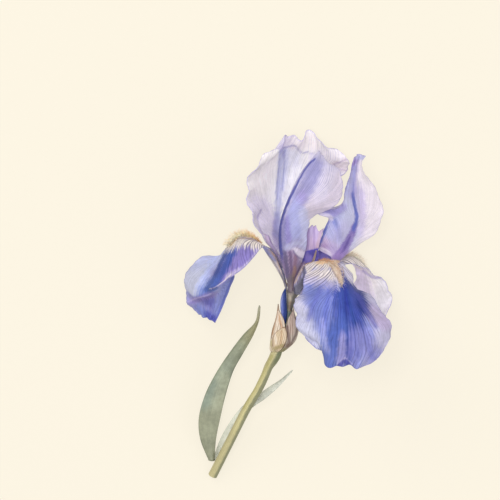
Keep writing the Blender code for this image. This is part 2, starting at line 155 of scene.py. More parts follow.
def ease(t):
    t = np.clip(t, 0, 1)
    return t * t * (3 - 2 * t)


def onNet(look, u, v):
    # u runs from foot to tip and v from one margin to the other, both 0 to 1
    net = np.asarray(look["net"], float)
    point = np.einsum("nr,ns,rsk->nk", curveWeights(len(net), v), curveWeights(net.shape[1], u), net)
    if "tip" in look:  # the last fifth bends to the tip's own line
        end = onCurve(net[:, -1], v)
        point += (onCurve(look["tip"], v) - end) * (np.clip((u - 0.8) / 0.2, 0, 1) ** 1.5)[:, None]
    if "foot" in look:  # how far the foot runs on into what carries it
        point += np.array(look["foot"]) * ease(1 - u / 0.06)[:, None]
    return point


def normalOf(surface, u, v, step=0.004):
    along = surface(np.minimum(u + step, 1), v) - surface(np.maximum(u - step, 0), v)
    across = surface(u, np.minimum(v + step, 1)) - surface(u, np.maximum(v - step, 0))
    return unit(np.cross(along, across))


def ruffle(look, u, v):
    # waves along both margins and the tip, none in the claw, with a finer crimp at the very edge
    height, waves = look["ruffle"]
    edge = ease((abs(2 * v - 1) - 0.45) / 0.55)
    tip = ease((u - 0.82) / 0.18) * (1 - edge)
    side = np.where(v > 0.5, 1.3, 0.2)
    rise = ease((u - 0.3) / 0.3)
    lift = edge * np.sin(2 * np.pi * (waves * u + side)) + tip * np.sin(2 * np.pi * (3 * v + 0.15))
    crimp = ease((abs(2 * v - 1) - 0.75) / 0.25) * np.sin(2 * np.pi * (4.3 * waves * u + 2 * side))
    crimp += ease((u - 0.93) / 0.07) * (1 - edge) * np.sin(2 * np.pi * (13 * v + 0.4))
    return rise * (height * lift + look["crimp"] * crimp)


def nicks(t, phase):
    # uneven small notches, 0 to 1, along a margin
    wave = np.sin(23 * t + phase) + 0.8 * np.sin(57 * t + 2.1 * phase) + 0.7 * np.sin(101 * t + 3.7 * phase)
    return ease(wave / 2.2)


def petalSurface(look):
    ragged = look.get("ragged")

    def flat(u, v):
        if ragged:  # both margins draw in at the nicks, from above the claw to near the tip
            edge = ease((abs(2 * v - 1) - 0.7) / 0.3) * ease((u - 0.3) / 0.2)
            edge = edge * (1 - 0.8 * ease((u - 0.85) / 0.15))
            v = 0.5 + (v - 0.5) * (1 - ragged * edge * nicks(u, np.where(v > 0.5, 1.0, 4.0)))
        return onNet(look, u, v)

    def surface(u, v):
        point = flat(u, v) + normalOf(flat, u, v) * ruffle(look, u, v)[:, None]
        point[:, 2] = np.maximum(point[:, 2], look["thick"] / 2 - heart[2])  # no lower than the floor
        return point
    return surface


def valveSurface(look):
    low, high = look["length"]

    def surface(u, v):
        t = low + (high - low) * u
        half = onCurve(look["halves"], u)[:, 0]
        radius = onCurve(spathe["half"], t)[:, 0] + look["extra"]
        turn = np.radians(onCurve(look["facing"], u)[:, 0] + half * (2 * v - 1))
        radius = radius + look["crease"] * np.sin(turn * look["creases"] + 5 * u) * ease(u / 0.2)
        middle = onCurve(spathe["path"], t)
        return np.stack([middle[:, 0] + radius * np.cos(turn), middle[:, 1],
                         middle[:, 2] + 0.95 * radius * np.sin(turn)], 1)
    return surface


# Painting: soft strokes over a ground colour, in the plane of the picture, kept as a colour on each point.

taper = 0.64  # how soon a stroke's ends run out thin, as a brush leaves them


def distanceTo(path, wide, place):
    # how far each place is from a stroke's edge, below 0 inside it
    line = onCurve(path, np.linspace(0, 1, 8 * len(path))) if len(path) > 2 else np.asarray(path, float)
    half = onCurve(np.broadcast_to(wide, 2), np.linspace(0, 1, len(line)))[:, 0] / 2
    best = np.full(len(place), 1e9)
    last = len(line) - 2
    for i, (a, b, wideA, wideB) in enumerate(zip(line, line[1:], half, half[1:])):
        run = b - a
        far = (place - a) @ run / max(run @ run, 1e-9)
        t = np.clip(far, 0, 1)
        gap = np.linalg.norm(place - a - t[:, None] * run, axis=1)
        past = np.linalg.norm(run) * (np.maximum(-far, 0) * (i == 0) + np.maximum(far - 1, 0) * (i == last))
        gap = np.sqrt(np.maximum(gap**2 - taper * past**2, 0))
        best = np.minimum(best, gap - (wideA + (wideB - wideA) * t))
    return best


def wobbleOf(place):
    # bends the strokes' edges a little, as wet paint does
    x, y = place[:, 0], place[:, 1]
    dx = 0.35 * np.sin(0.9 * y + 0.4 * x + 1) + 0.2 * np.sin(2.3 * y - 1.1 * x)
    dy = 0.35 * np.sin(0.8 * x - 0.5 * y + 2) + 0.2 * np.sin(2.1 * x + 1.3 * y)
    return np.stack([dx, dy], 1)


def paintedColours(coat, place, reach, vein, margin=None):
    # reach is how far along the piece, 0 to 1, vein the vein's number, margin the way to the edge in mm
    colour = np.tile(np.append(ink(coat["ground"]), coat["veins"]), (len(place), 1))
    wobble = wobbleOf(place)
    uneven = 0.4 * np.sin(2.3 * vein + 1 + 5 * reach) + 0.6 * np.cos(2 * np.pi * vein)

    def tinted(paint, mask):
        colour[:, :3] += (ink(paint) - colour[:, :3]) * mask[:, None]

    # a stroke: path in mm, width or two widths, softness, colour and strength, and if need be how strongly
    # the veins show in it, the part of the length that it keeps to, and how frayed its edge is
    def laid(path, wide, soft, paint, much, veins=None, span=None, fray=1):
        away = distanceTo(path, wide, place + wobble * min(soft / 4, 1))
        away = away + uneven * min(0.3 * soft, 2) * fray
        mask = much * ease(1 - away / soft)
        if span:
            mask = mask * ease((reach - span[0]) / 0.03 + 1) * ease((span[1] - reach) / 0.03 + 1)
        tinted(paint, mask)
        if veins is not None:
            colour[:, 3] += (veins - colour[:, 3]) * mask

    for stroke in coat.get("strokes", []):
        laid(*stroke)
    if "rim" in coat:  # none in the claw
        paint, wide, much = coat["rim"]
        tinted(paint, much * ease(1 - margin / wide) * ease((reach - 0.2) / 0.15))
    colour[:, :3] *= coat.get("level", 1)
    return colour


# Points: read, kept and placed.

def named(name):
    piece = bpy.context.object
    piece.name = name
    piece.data.name = name
    return piece


def pointsOf(mesh, name=None):
    values = np.zeros(len(mesh.vertices) * 3, np.float32)
    if name:
        mesh.attributes[name].data.foreach_get("vector", values)
    else:
        mesh.vertices.foreach_get("co", values)
    return values.reshape(-1, 3).astype(float)


def keepOnPoints(piece, name, values):
    kind, field = ("FLOAT_COLOR", "color") if values.shape[1] == 4 else ("FLOAT_VECTOR", "vector")
    attribute = piece.data.attributes.new(name, kind, "POINT")
    attribute.data.foreach_set(field, values.astype(np.float32).ravel())


def inMetres(points):
    return np.clip((points + heart) * mm, cadBox[0], cadBox[1])


def placePoints(piece, points):
    piece.data.vertices.foreach_set("co", inMetres(points).astype(np.float32).ravel())
    piece.data.update()


def cutLengthwise(piece, cuts):
    # cuts the edges that run from one end of a fresh rod to the other
    bpy.ops.object.mode_set(mode="EDIT")
    bpy.ops.mesh.select_mode(type="EDGE")
    bpy.ops.mesh.select_all(action="DESELECT")
    bpy.ops.object.mode_set(mode="OBJECT")
    for edge in piece.data.edges:
        low, high = (piece.data.vertices[i].co.z for i in edge.vertices)
        edge.select = abs(low - high) > 1
    bpy.ops.object.mode_set(mode="EDIT")
    bpy.ops.mesh.subdivide(number_cuts=cuts)
    bpy.ops.object.mode_set(mode="OBJECT")


def dress(piece, look, node):
    piece.data.materials.clear()
    piece.data.materials.append(look["finish"])
    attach(piece, "root")
    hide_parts(node)
    piece.select_set(False)
    print(piece.name, "stands for", node, len(piece.data.polygons), "faces")


def veinNumber(look, u, v):
    # which vein passes here: they leave the midrib along the haft and spread to both margins
    haft, bend, drift, inner, outer, early = look["branches"]
    side = np.maximum(np.abs(2 * v - 1), 1e-3)
    rise = np.log(side) + bend * np.logaddexp(0, 30 * (haft - u)) / 30 + drift * (1 - u)
    turn = max(drift * (1 - haft), 1e-3)
    later = np.interp(rise, [0, turn, turn + max(bend * haft, 1e-3)], [0, outer, outer + early])
    return np.where(rise < 0, inner * (np.exp(np.minimum(rise, 0)) - 1), later) + np.where(v > 0.5, 60.5, 0)


def makeSheet(name, look, node, surfaceOf=petalSurface):
    surface = surfaceOf(look)
    across, along = look["cells"]
    bpy.ops.mesh.primitive_grid_add(x_subdivisions=across, y_subdivisions=along, size=2)
    piece = named(name)
    grid = pointsOf(piece.data)
    v, u = (grid[:, 0] + 1) / 2, (grid[:, 1] + 1) / 2
    placePoints(piece, surface(u, v))
    keepOnPoints(piece, "place", np.stack([u, v, 0 * u], 1))
    blade = piece.modifiers.new("thickness", "SOLIDIFY")
    blade.thickness = look["thick"] * mm
    blade.offset = 0
    bpy.ops.object.modifier_apply(modifier=blade.name)
    bpy.ops.object.shade_smooth()

    points = pointsOf(piece.data) / mm - heart
    place = pointsOf(piece.data, "place")
    u, v = place[:, 0], place[:, 1]
    side = np.sum((points - surface(u, v)) * normalOf(surface, u, v), axis=1)
    side = np.sign(side) * look["topSide"]  # 1 or -1, so that it is above 0 on the face with the top coat
    span = np.linspace(0, 1, 40)
    wide = np.array([lengthOf(surface(0 * span + t, span)) for t in span])
    long = lengthOf(surface(span, 0 * span + 0.5))
    margin = np.minimum(np.interp(u, span, wide) * np.minimum(v, 1 - v), long * (1 - u))
    vein = veinNumber(look, u, v)
    keepOnPoints(piece, "flow", np.stack([vein, u * long, (v - 0.5) * wide.max()], 1))
    top, below = (paintedColours(look[coat], points[:, :2], u, vein, margin) for coat in ("top", "below"))
    placePoints(piece, points)
    keepOnPoints(piece, "wash", np.where(side[:, None] > 0, top, below))
    dress(piece, look, node)


clearance = 0.02  # mm between a rod and the floor
sharpAngle = 50   # degrees, above which a rod's edge stays sharp


def makeRod(name, look, node):
    path = look["path"]
    sides, steps = look["cells"]
    bpy.ops.mesh.primitive_cylinder_add(vertices=sides, radius=1, depth=2, end_fill_type="TRIFAN")
    piece = named(name)
    cutLengthwise(piece, steps - 1)
    x, y, z = pointsOf(piece.data).T
    t = (z + 1) / 2
    turn = np.arctan2(y, x)
    ahead = unit(onCurve(path, np.minimum(t + 0.01, 1)) - onCurve(path, np.maximum(t - 0.01, 0)))
    one = unit(np.cross(ahead, (0, 0, 1.0)))
    two = np.cross(ahead, one)
    size = onCurve(look["radii"], t)[:, 0] * np.hypot(x, y) * look["shape"](t, turn)
    points = onCurve(path, t) + size[:, None] * (np.cos(turn)[:, None] * one + np.sin(turn)[:, None] * two)
    points[:, 2] = np.maximum(points[:, 2], clearance - heart[2])
    placePoints(piece, points)
    bpy.ops.object.mode_set(mode="EDIT")
    bpy.ops.mesh.select_all(action="SELECT")
    bpy.ops.mesh.normals_make_consistent(inside=False)
    bpy.ops.object.mode_set(mode="OBJECT")
    bpy.ops.object.shade_smooth_by_angle(angle=math.radians(sharpAngle))
    vein = np.abs(turn) / np.pi * look["lines"] + 0.5
    keepOnPoints(piece, "flow", np.stack([vein, t * lengthOf(onCurve(path, np.linspace(0, 1, 60))), vein], 1))
    keepOnPoints(piece, "wash", paintedColours(look["top"], points[:, :2], t, vein))
    dress(piece, look, node)


# Finishes.

bumpDepth = 0.0003  # metres
# how fast each pattern changes: per vein, per mm along and per mm across, and the last three per metre
pattern = {
    "sway": (0.21, 0.07, 0), "patch": (0.8, 0.05, 0), "broad": (0.45, 0.02, 0),
    "pool": 95, "finePool": 420, "grain": 1500,
}


class Wire:
    # a socket that takes part in sums
    def __init__(self, bench, socket):
        self.bench, self.socket = bench, socket

    def __add__(self, other):
        return self.bench.sum("ADD", self, other)

    def __sub__(self, other):
        return self.bench.sum("SUBTRACT", self, other)

    def __rsub__(self, other):
        return self.bench.sum("SUBTRACT", other, self)

    def __mul__(self, other):
        return self.bench.sum("MULTIPLY", self, other)

    __radd__ = __add__
    __rmul__ = __mul__


class Bench:
    def __init__(self, name):
        self.material = bpy.data.materials.new(name)
        self.material.use_nodes = True
        self.tree = self.material.node_tree
        self.tree.nodes.clear()

    def node(self, kind, settings=None, inputs=None, output=0):
        new = self.tree.nodes.new(kind)
        for key, value in (settings or {}).items():
            setattr(new, key, value)
        for key, value in (inputs or {}).items():
            if isinstance(value, Wire):
                self.tree.links.new(value.socket, new.inputs[key])
            else:
                new.inputs[key].default_value = value
        return Wire(self, new.outputs[output])

    def sum(self, operation, one, two=0.0):
        return self.node("ShaderNodeMath", {"operation": operation}, {0: one, 1: two})

    def kept(self, name, output):
        return self.node("ShaderNodeAttribute", {"attribute_name": name}, {}, output)

    def mixed(self, share, one, two, blend="MIX"):
        return self.node("ShaderNodeMix", {"data_type": "RGBA", "blend_type": blend},
                         {0: share, 6: one, 7: two}, 2)

    def stretched(self, vector, size):
        return self.node("ShaderNodeVectorMath", {"operation": "MULTIPLY"}, {0: vector, 1: size})

    def noise(self, vector, scale=1.0, detail=2.0):
        return self.node("ShaderNodeTexNoise", {}, {"Vector": vector, "Scale": scale, "Detail": detail})

    def stepped(self, value, low, high):
        # 0 below low, 1 above high, smooth between
        return self.node("ShaderNodeMapRange", {"interpolation_type": "SMOOTHSTEP"},
                         {"Value": value, "From Min": low, "From Max": high})

    def ridged(self, value, low):
        # 1 along each whole number of value, 0 from low down to halfway between two
        apart = self.sum("ABSOLUTE", self.sum("FRACT", value) - 0.5) * 2
        return self.stepped(apart, low, 1.0)

    def close(self, colour, roughness, bump, look):
        normal = self.node("ShaderNodeBump", {}, {
            "Height": bump, "Strength": look["bump"], "Distance": bumpDepth})
        skin = self.node("ShaderNodeBsdfPrincipled", {}, {
            "Base Color": colour, "Roughness": roughness, "Normal": normal,
            "Specular IOR Level": look["gloss"], "Sheen Weight": look.get("sheen", 0.0),
            "Sheen Roughness": 0.5, "Emission Color": look.get("light", (0, 0, 0, 1)),
            "Emission Strength": look.get("bright", 0.0)})
        if "glow" in look:  # light that comes through a thin petal
            glow = self.node("ShaderNodeBsdfTranslucent", {}, {"Color": colour, "Normal": normal})
            skin = self.node("ShaderNodeMixShader", {}, {0: look["glow"], 1: skin, 2: glow})
        end = self.tree.nodes.new("ShaderNodeOutputMaterial")
        self.tree.links.new(skin.socket, end.inputs["Surface"])
        return self.material


def veinedFinish(name, look):
    # painted colour, numbered veins with finer ones between, pooled pigment, fine cell texture
    bench = Bench(name)
    wash = bench.kept("wash", "Color")
    strength = bench.kept("wash", "Alpha")
    flow = bench.kept("flow", "Vector")
    body = bench.node("ShaderNodeTexCoord", {}, {}, "Object")
    sway = bench.noise(bench.stretched(flow, pattern["sway"]), 1, 2)
    vein = bench.node("ShaderNodeSeparateXYZ", {}, {"Vector": flow}, "X") + (sway - 0.5) * look["sway"]
    patch = bench.stepped(bench.noise(bench.stretched(flow, pattern["patch"]), 1, 1), 0.3, 0.6)
    bold = bench.ridged(vein, 1 - (0.5 + patch * 0.4 + strength * 0.5) * look["line"])
    thin = bench.ridged(vein * 2 + sway * 3, 1 - look["line"])
    line = bench.sum("MAXIMUM", bold * (0.4 + patch * 0.6), thin * (0.5 - patch * 0.25))
    broad = bench.noise(bench.stretched(flow, pattern["broad"]), 1, 2)
    pool = bench.noise(body, pattern["pool"], 2) + bench.noise(body, pattern["finePool"], 3) * 0.8 - 0.4
    grain = bench.noise(body, pattern["grain"], 2)
    veined = bench.mixed(line * strength * look["dark"], wash,
                         bench.mixed(1.0, wash, (*look["tint"], 1), "MULTIPLY"))
    share = 1 + (broad - 0.5) * look["streak"] + (pool - 0.5) * look["pool"] + (grain - 0.5) * look["grain"]
    colour = bench.node("ShaderNodeVectorMath", {"operation": "SCALE"}, {0: veined, "Scale": share})
    bump = line * 0.5 + broad * 0.8 + grain * 0.25
    return bench.close(colour, look["rough"] + broad * 0.15, bump, look)


petalFinish = veinedFinish("petal", {
    "line": 0.46, "sway": 2.6, "dark": 1.0, "tint": (0.08, 0.06, 0.17), "streak": 0.5, "pool": 0.42,
    "grain": 0.16, "rough": 0.5, "bump": 0.35, "glow": 0.3, "sheen": 0.1, "gloss": 0.2})
standardFinish = veinedFinish("standard", {
    "line": 0.5, "sway": 2.2, "dark": 1.0, "tint": (0.16, 0.16, 0.54), "streak": 0.42, "pool": 0.3,
    "grain": 0.14, "rough": 0.5, "bump": 0.35, "glow": 0.28, "sheen": 0.1, "gloss": 0.2})
styleFinish = veinedFinish("styleArm", {
    "line": 0.5, "sway": 1.0, "dark": 0.7, "tint": (0.35, 0.25, 0.5), "streak": 0.35, "pool": 0.15,
    "grain": 0.06, "rough": 0.5, "bump": 0.35, "glow": 0.2, "sheen": 0.2, "gloss": 0.25})
leafFinish = veinedFinish("leaf", {
    "line": 0.6, "sway": 0.6, "dark": 0.6, "tint": (0.5, 0.56, 0.5), "streak": 0.3, "pool": 0.65,
    "grain": 0.2, "rough": 0.45, "bump": 0.4, "glow": 0.1, "gloss": 0.35})
paperFinish = veinedFinish("papery", {
    "line": 0.55, "sway": 1.2, "dark": 0.9, "tint": (0.36, 0.26, 0.22), "streak": 0.45, "pool": 0.25,
    "grain": 0.12, "rough": 0.65, "bump": 0.6, "glow": 0.2, "gloss": 0.2})
stemFinish = veinedFinish("stem", {
    "line": 0.6, "sway": 0.8, "dark": 0.5, "tint": (0.5, 0.52, 0.36), "streak": 0.3, "pool": 0.2,
    "grain": 0.08, "rough": 0.42, "bump": 0.35, "gloss": 0.35})
hairFinish = veinedFinish("hair", {
    "line": 0.5, "sway": 0.5, "dark": 0.2, "tint": (0.6, 0.45, 0.3), "streak": 0.2, "pool": 0.2,
    "grain": 0.0, "rough": 0.5, "bump": 0.05, "glow": 0.6, "gloss": 0.2})
print("finishes made")


def floorFinish():
    bench = Bench("floor")
    body = bench.node("ShaderNodeTexCoord", {}, {}, "Object")
    grain = bench.noise(body, studio["fleckScale"], 3)
    tone = ink(studio["floor"])
    colour = bench.mixed(studio["fleckShare"] * grain, (*tone * studio["floorShare"], 1), studio["fleck"])
    return bench.close(colour, 0.9 + grain * 0.05, grain,
                       {"bump": 0.08, "gloss": 0.1, "light": (*tone, 1), "bright": studio["floorGlow"]})


setStudio().data.materials.append(floorFinish())
print("studio set")


# Falls: three hanging petals.

# what all petals share, in mm; ruffle is a height and the number of waves
petal = {"thick": 0.5, "foot": (0, -2.2, 0), "ruffle": (0, 5), "crimp": 0.15}
fall = {**petal, "ragged": 0.035, "finish": petalFinish, "slot": "fall_blue"}

fallFront = {
    **fall,
    "net": [
        [(-3.9, -0.1, 4.2), (-3.5, 5.3, 8.1), (-0.8, 11.5, 14.6), (2.4, 16.6, 21), (3.0, 11, 28),
         (1.8, 2, 33), (-3.5, -7.5, 37), (-3.3, -17.5, 40), (-0.8, -26.2, 42.6), (5.7, -33.3, 44.5)],
        [(-3.2, -0.3, 4.4), (-1.8, 5, 9.2), (2.5, 11.5, 15.8), (8, 18.3, 23.5), (12.5, 13.5, 33.5),
         (13, 3, 39.5), (11, -8, 45), (11, -22, 49), (13.5, -35.5, 50), (17.5, -47.5, 48)],
        [(-2.4, -0.5, 4.5), (0.5, 4.5, 9.4), (7, 12, 16), (15.5, 19, 25), (23.5, 14.2, 36), (26, 4.5, 43),
         (28, -8, 49), (29, -22, 53), (29, -37, 54), (27.5, -48.6, 50)],
        [(-1.6, -0.7, 4.2), (2.8, 4.2, 8.3), (11, 12, 13.5), (21.3, 19.4, 21.5), (28.8, 15, 31),
         (32, 5, 38.5), (37, -7, 44), (44, -20, 48), (46, -35, 49), (38, -48.8, 48)],
        [(-0.8, -0.9, 3.6), (5, 4.2, 6), (14, 11.5, 11), (25.5, 18.8, 17), (30.8, 13.4, 26),
         (35.4, 4.2, 32), (46, -5.5, 35), (55.5, -17, 38), (57.8, -31, 42), (47.5, -45.5, 46)],
    ],
    "tip": [(5.7, -33.3, 44.5), (11, -37, 45.6), (14.3, -39.2, 46.4), (14.4, -44.5, 47.6),
            (17.8, -49.2, 48.5), (23, -48, 49), (27, -49.4, 50), (32, -48, 50), (35, -50, 49),
            (38, -49.4, 48.5), (41.5, -48.4, 48), (45, -46.8, 47), (48.5, -44.5, 46)],
    "cells": (120, 170), "ruffle": (1.6, 6), "topSide": 1, "branches": (0.62, 12.5, 1.5, 13, 15, 30),
    "top": {"ground": (140, 146, 205), "veins": 0.46, "rim": ((124, 124, 190), 0.8, 0.6), "strokes": [
        ([(-3, -3), (-3, -15), (-1, -27), (6, -36), (12, -39)], 10, 7, (206, 204, 222), 0.95, 0.32),
        ([(3, -25), (9, -34)], 8, 8, (196, 198, 222), 0.8, 0.3),
        ([(46, -6), (54, -18), (56, -30), (50, -42)], 10, 7, (189, 185, 206), 0.9, 0.3),
        ([(46, -14), (53, -20)], 5, 4, (180, 164, 198), 0.7),
        ([(10, -4), (15, -12), (19, -24)], 9, 8, (112, 126, 198), 0.8, 0.45),
        ([(30, 6), (32, -6), (32.5, -20), (31.5, -34)], (14, 4), 8, (34, 58, 134), 0.95, 0.45),
        ([(30, 5), (34.5, -2), (38.5, -9)], 5, 5, (34, 50, 130), 0.9, 0.35),
        ([(28, -6), (28.5, -20), (28.5, -40)], (8, 5), 6, (56, 80, 162), 0.85, 0.4),
        ([(29.5, -8), (29.5, -22), (28.8, -39)], (2, 0.8), 2.4, (40, 60, 148), 0.65),
        ([(23, 2), (22.5, -10), (23, -24)], 1.2, 1.8, (72, 86, 172), 0.7),
        ([(28.5, 3), (29.5, -10), (31.5, -24), (31, -40)], 1.3, 1.8, (44, 58, 150), 0.85),
        ([(33, 0), (36, -14), (40, -26), (46, -42)], 1.4, 2.2, (66, 80, 166), 0.75),
        ([(26, 0), (26, -16), (26.5, -34)], 0.9, 1.4, (64, 80, 168), 0.6),
        ([(19, 4), (17, -8), (15, -22)], 1.1, 1.8, (92, 104, 186), 0.6),
        ([(13, 2), (9, -8), (5, -18)], 1, 1.8, (104, 110, 190), 0.55),
        ([(36, -2), (42, -12), (48, -22)], 1.2, 1.8, (84, 88, 168), 0.6),
        ([(30, -12), (34, -26), (37, -42)], 0.9, 1.4, (60, 74, 160), 0.6),
        ([(24, -28), (20, -38), (17, -46)], 8, 6, (76, 98, 178), 0.9, 0.4),
        ([(27, -30), (26.6, -37), (26.4, -43)], (0.4, 3), 3.6, (168, 162, 212), 0.7, None, None, 0.3),
        ([(33, -37), (34, -43)], 3, 3, (140, 138, 200), 0.5),
        ([(40, -33), (44, -38), (46, -41)], 7, 6, (138, 138, 200), 0.75),
        ([(14, -20), (15.5, -30), (17, -38)], 0.6, 2.2, (168, 170, 216), 0.5),
        ([(23.4, -47), (28.2, -43.1)], 0.15, 0.5, (196, 186, 222), 0.6),
        ([(28.2, -43.1), (33, -46.8)], 0.15, 0.5, (196, 186, 222), 0.6),
        ([(25, -48.4), (28.2, -45.4), (31.4, -48.4)], 1.6, 1.3, (78, 76, 160), 0.85),
        ([(5, 16.4), (10, 16.8), (16, 16.2)], 2.4, 2.4, (236, 228, 222), 1, 1),
        ([(4, 15), (6, 9), (12, 10), (17, 10), (20, 9)], 5.4, 3.6, (232, 223, 219), 1, 1, None, 2),
        ([(2, 7), (11, 5.5), (20, 4)], 1.5, 4, (178, 174, 212), 0.75, 0.9, None, 2),
        ([(28.5, 14), (31.5, 10.5), (34.5, 6.5)], 6, 3, (72, 80, 156), 0.95, 0.5),
        ([(28.4, 14.6), (30.6, 11.4), (32.6, 8.4)], 3.4, 1.8, (228, 222, 236), 0.95, 1, None, 2.5),
        ([(23.2, 7.5), (24.2, 3.5), (24.6, 0)], (0.6, 0.02), 0.8, (206, 206, 232), 0.4, 0, None, 0),
        ([(13.5, 18.6), (17.5, 19.3), (22.5, 19.2)], 2.4, 1.6, (226, 190, 146), 0.9, 0.2),
        ([(21, 17), (24, 12), (26, 6)], (4.4, 1.4), 1.0, (226, 212, 194), 0.95, 0.15),
        ([(19.4, 16), (22, 11), (25, 5.5)], 0.4, 0.6, (170, 142, 118), 0.6),
        ([(27, 14.6), (27.8, 11), (26.6, 5.5)], 0.35, 0.5, (176, 152, 130), 0.6),
        ([(2, 15.5), (3.5, 17.2), (8, 18.6)], 0.6, 0.7, (188, 150, 112), 0.8),
    ]},
    "below": {"ground": (190, 188, 236), "veins": 0.4, "rim": ((130, 124, 200), 0.8, 0.6), "strokes": [
        ([(2, -8), (3, -20), (12, -34)], 6, 6, (214, 212, 242), 0.7),
        ([(26, 2), (28, -10), (29, -24), (29, -40)], (7, 3), 6, (140, 142, 220), 0.8),
        ([(12, 16), (23, 15), (26, 4), (28, -8), (29, -24)], (3, 0.8), 1.4, (196, 190, 170), 0.7),
        ([(27, -50), (32, -46)], 6, 3, (84, 80, 168), 0.95),
        # the claw's colour, painted lighter than it is to make up for the shade on its steep face
        ([(-2.5, 2), (0, 8), (3, 14)], 8, 4, (190, 186, 228), 0.95, 0.7, (0, 0.36)),
        ([(-3.6, 6), (-1, 11.5), (1.5, 15.8)], 1.6, 1.4, (212, 184, 160), 0.8, None, (0, 0.36)),
        ([(-3, -1), (-0.5, 2), (1.4, 4.4)], 3, 2.5, (108, 108, 118), 0.85, None, (0, 0.36)),
        ([(1.5, 4), (2.6, 9), (2.6, 14)], 0.8, 1, (100, 100, 122), 0.7, None, (0, 0.36)),
        ([(-1.5, 5), (1, 11), (2.4, 15)], 0.4, 0.6, (120, 104, 120), 0.6, None, (0, 0.36)),
    ]},
}
makeSheet("frontFall", fallFront, "fall_front")

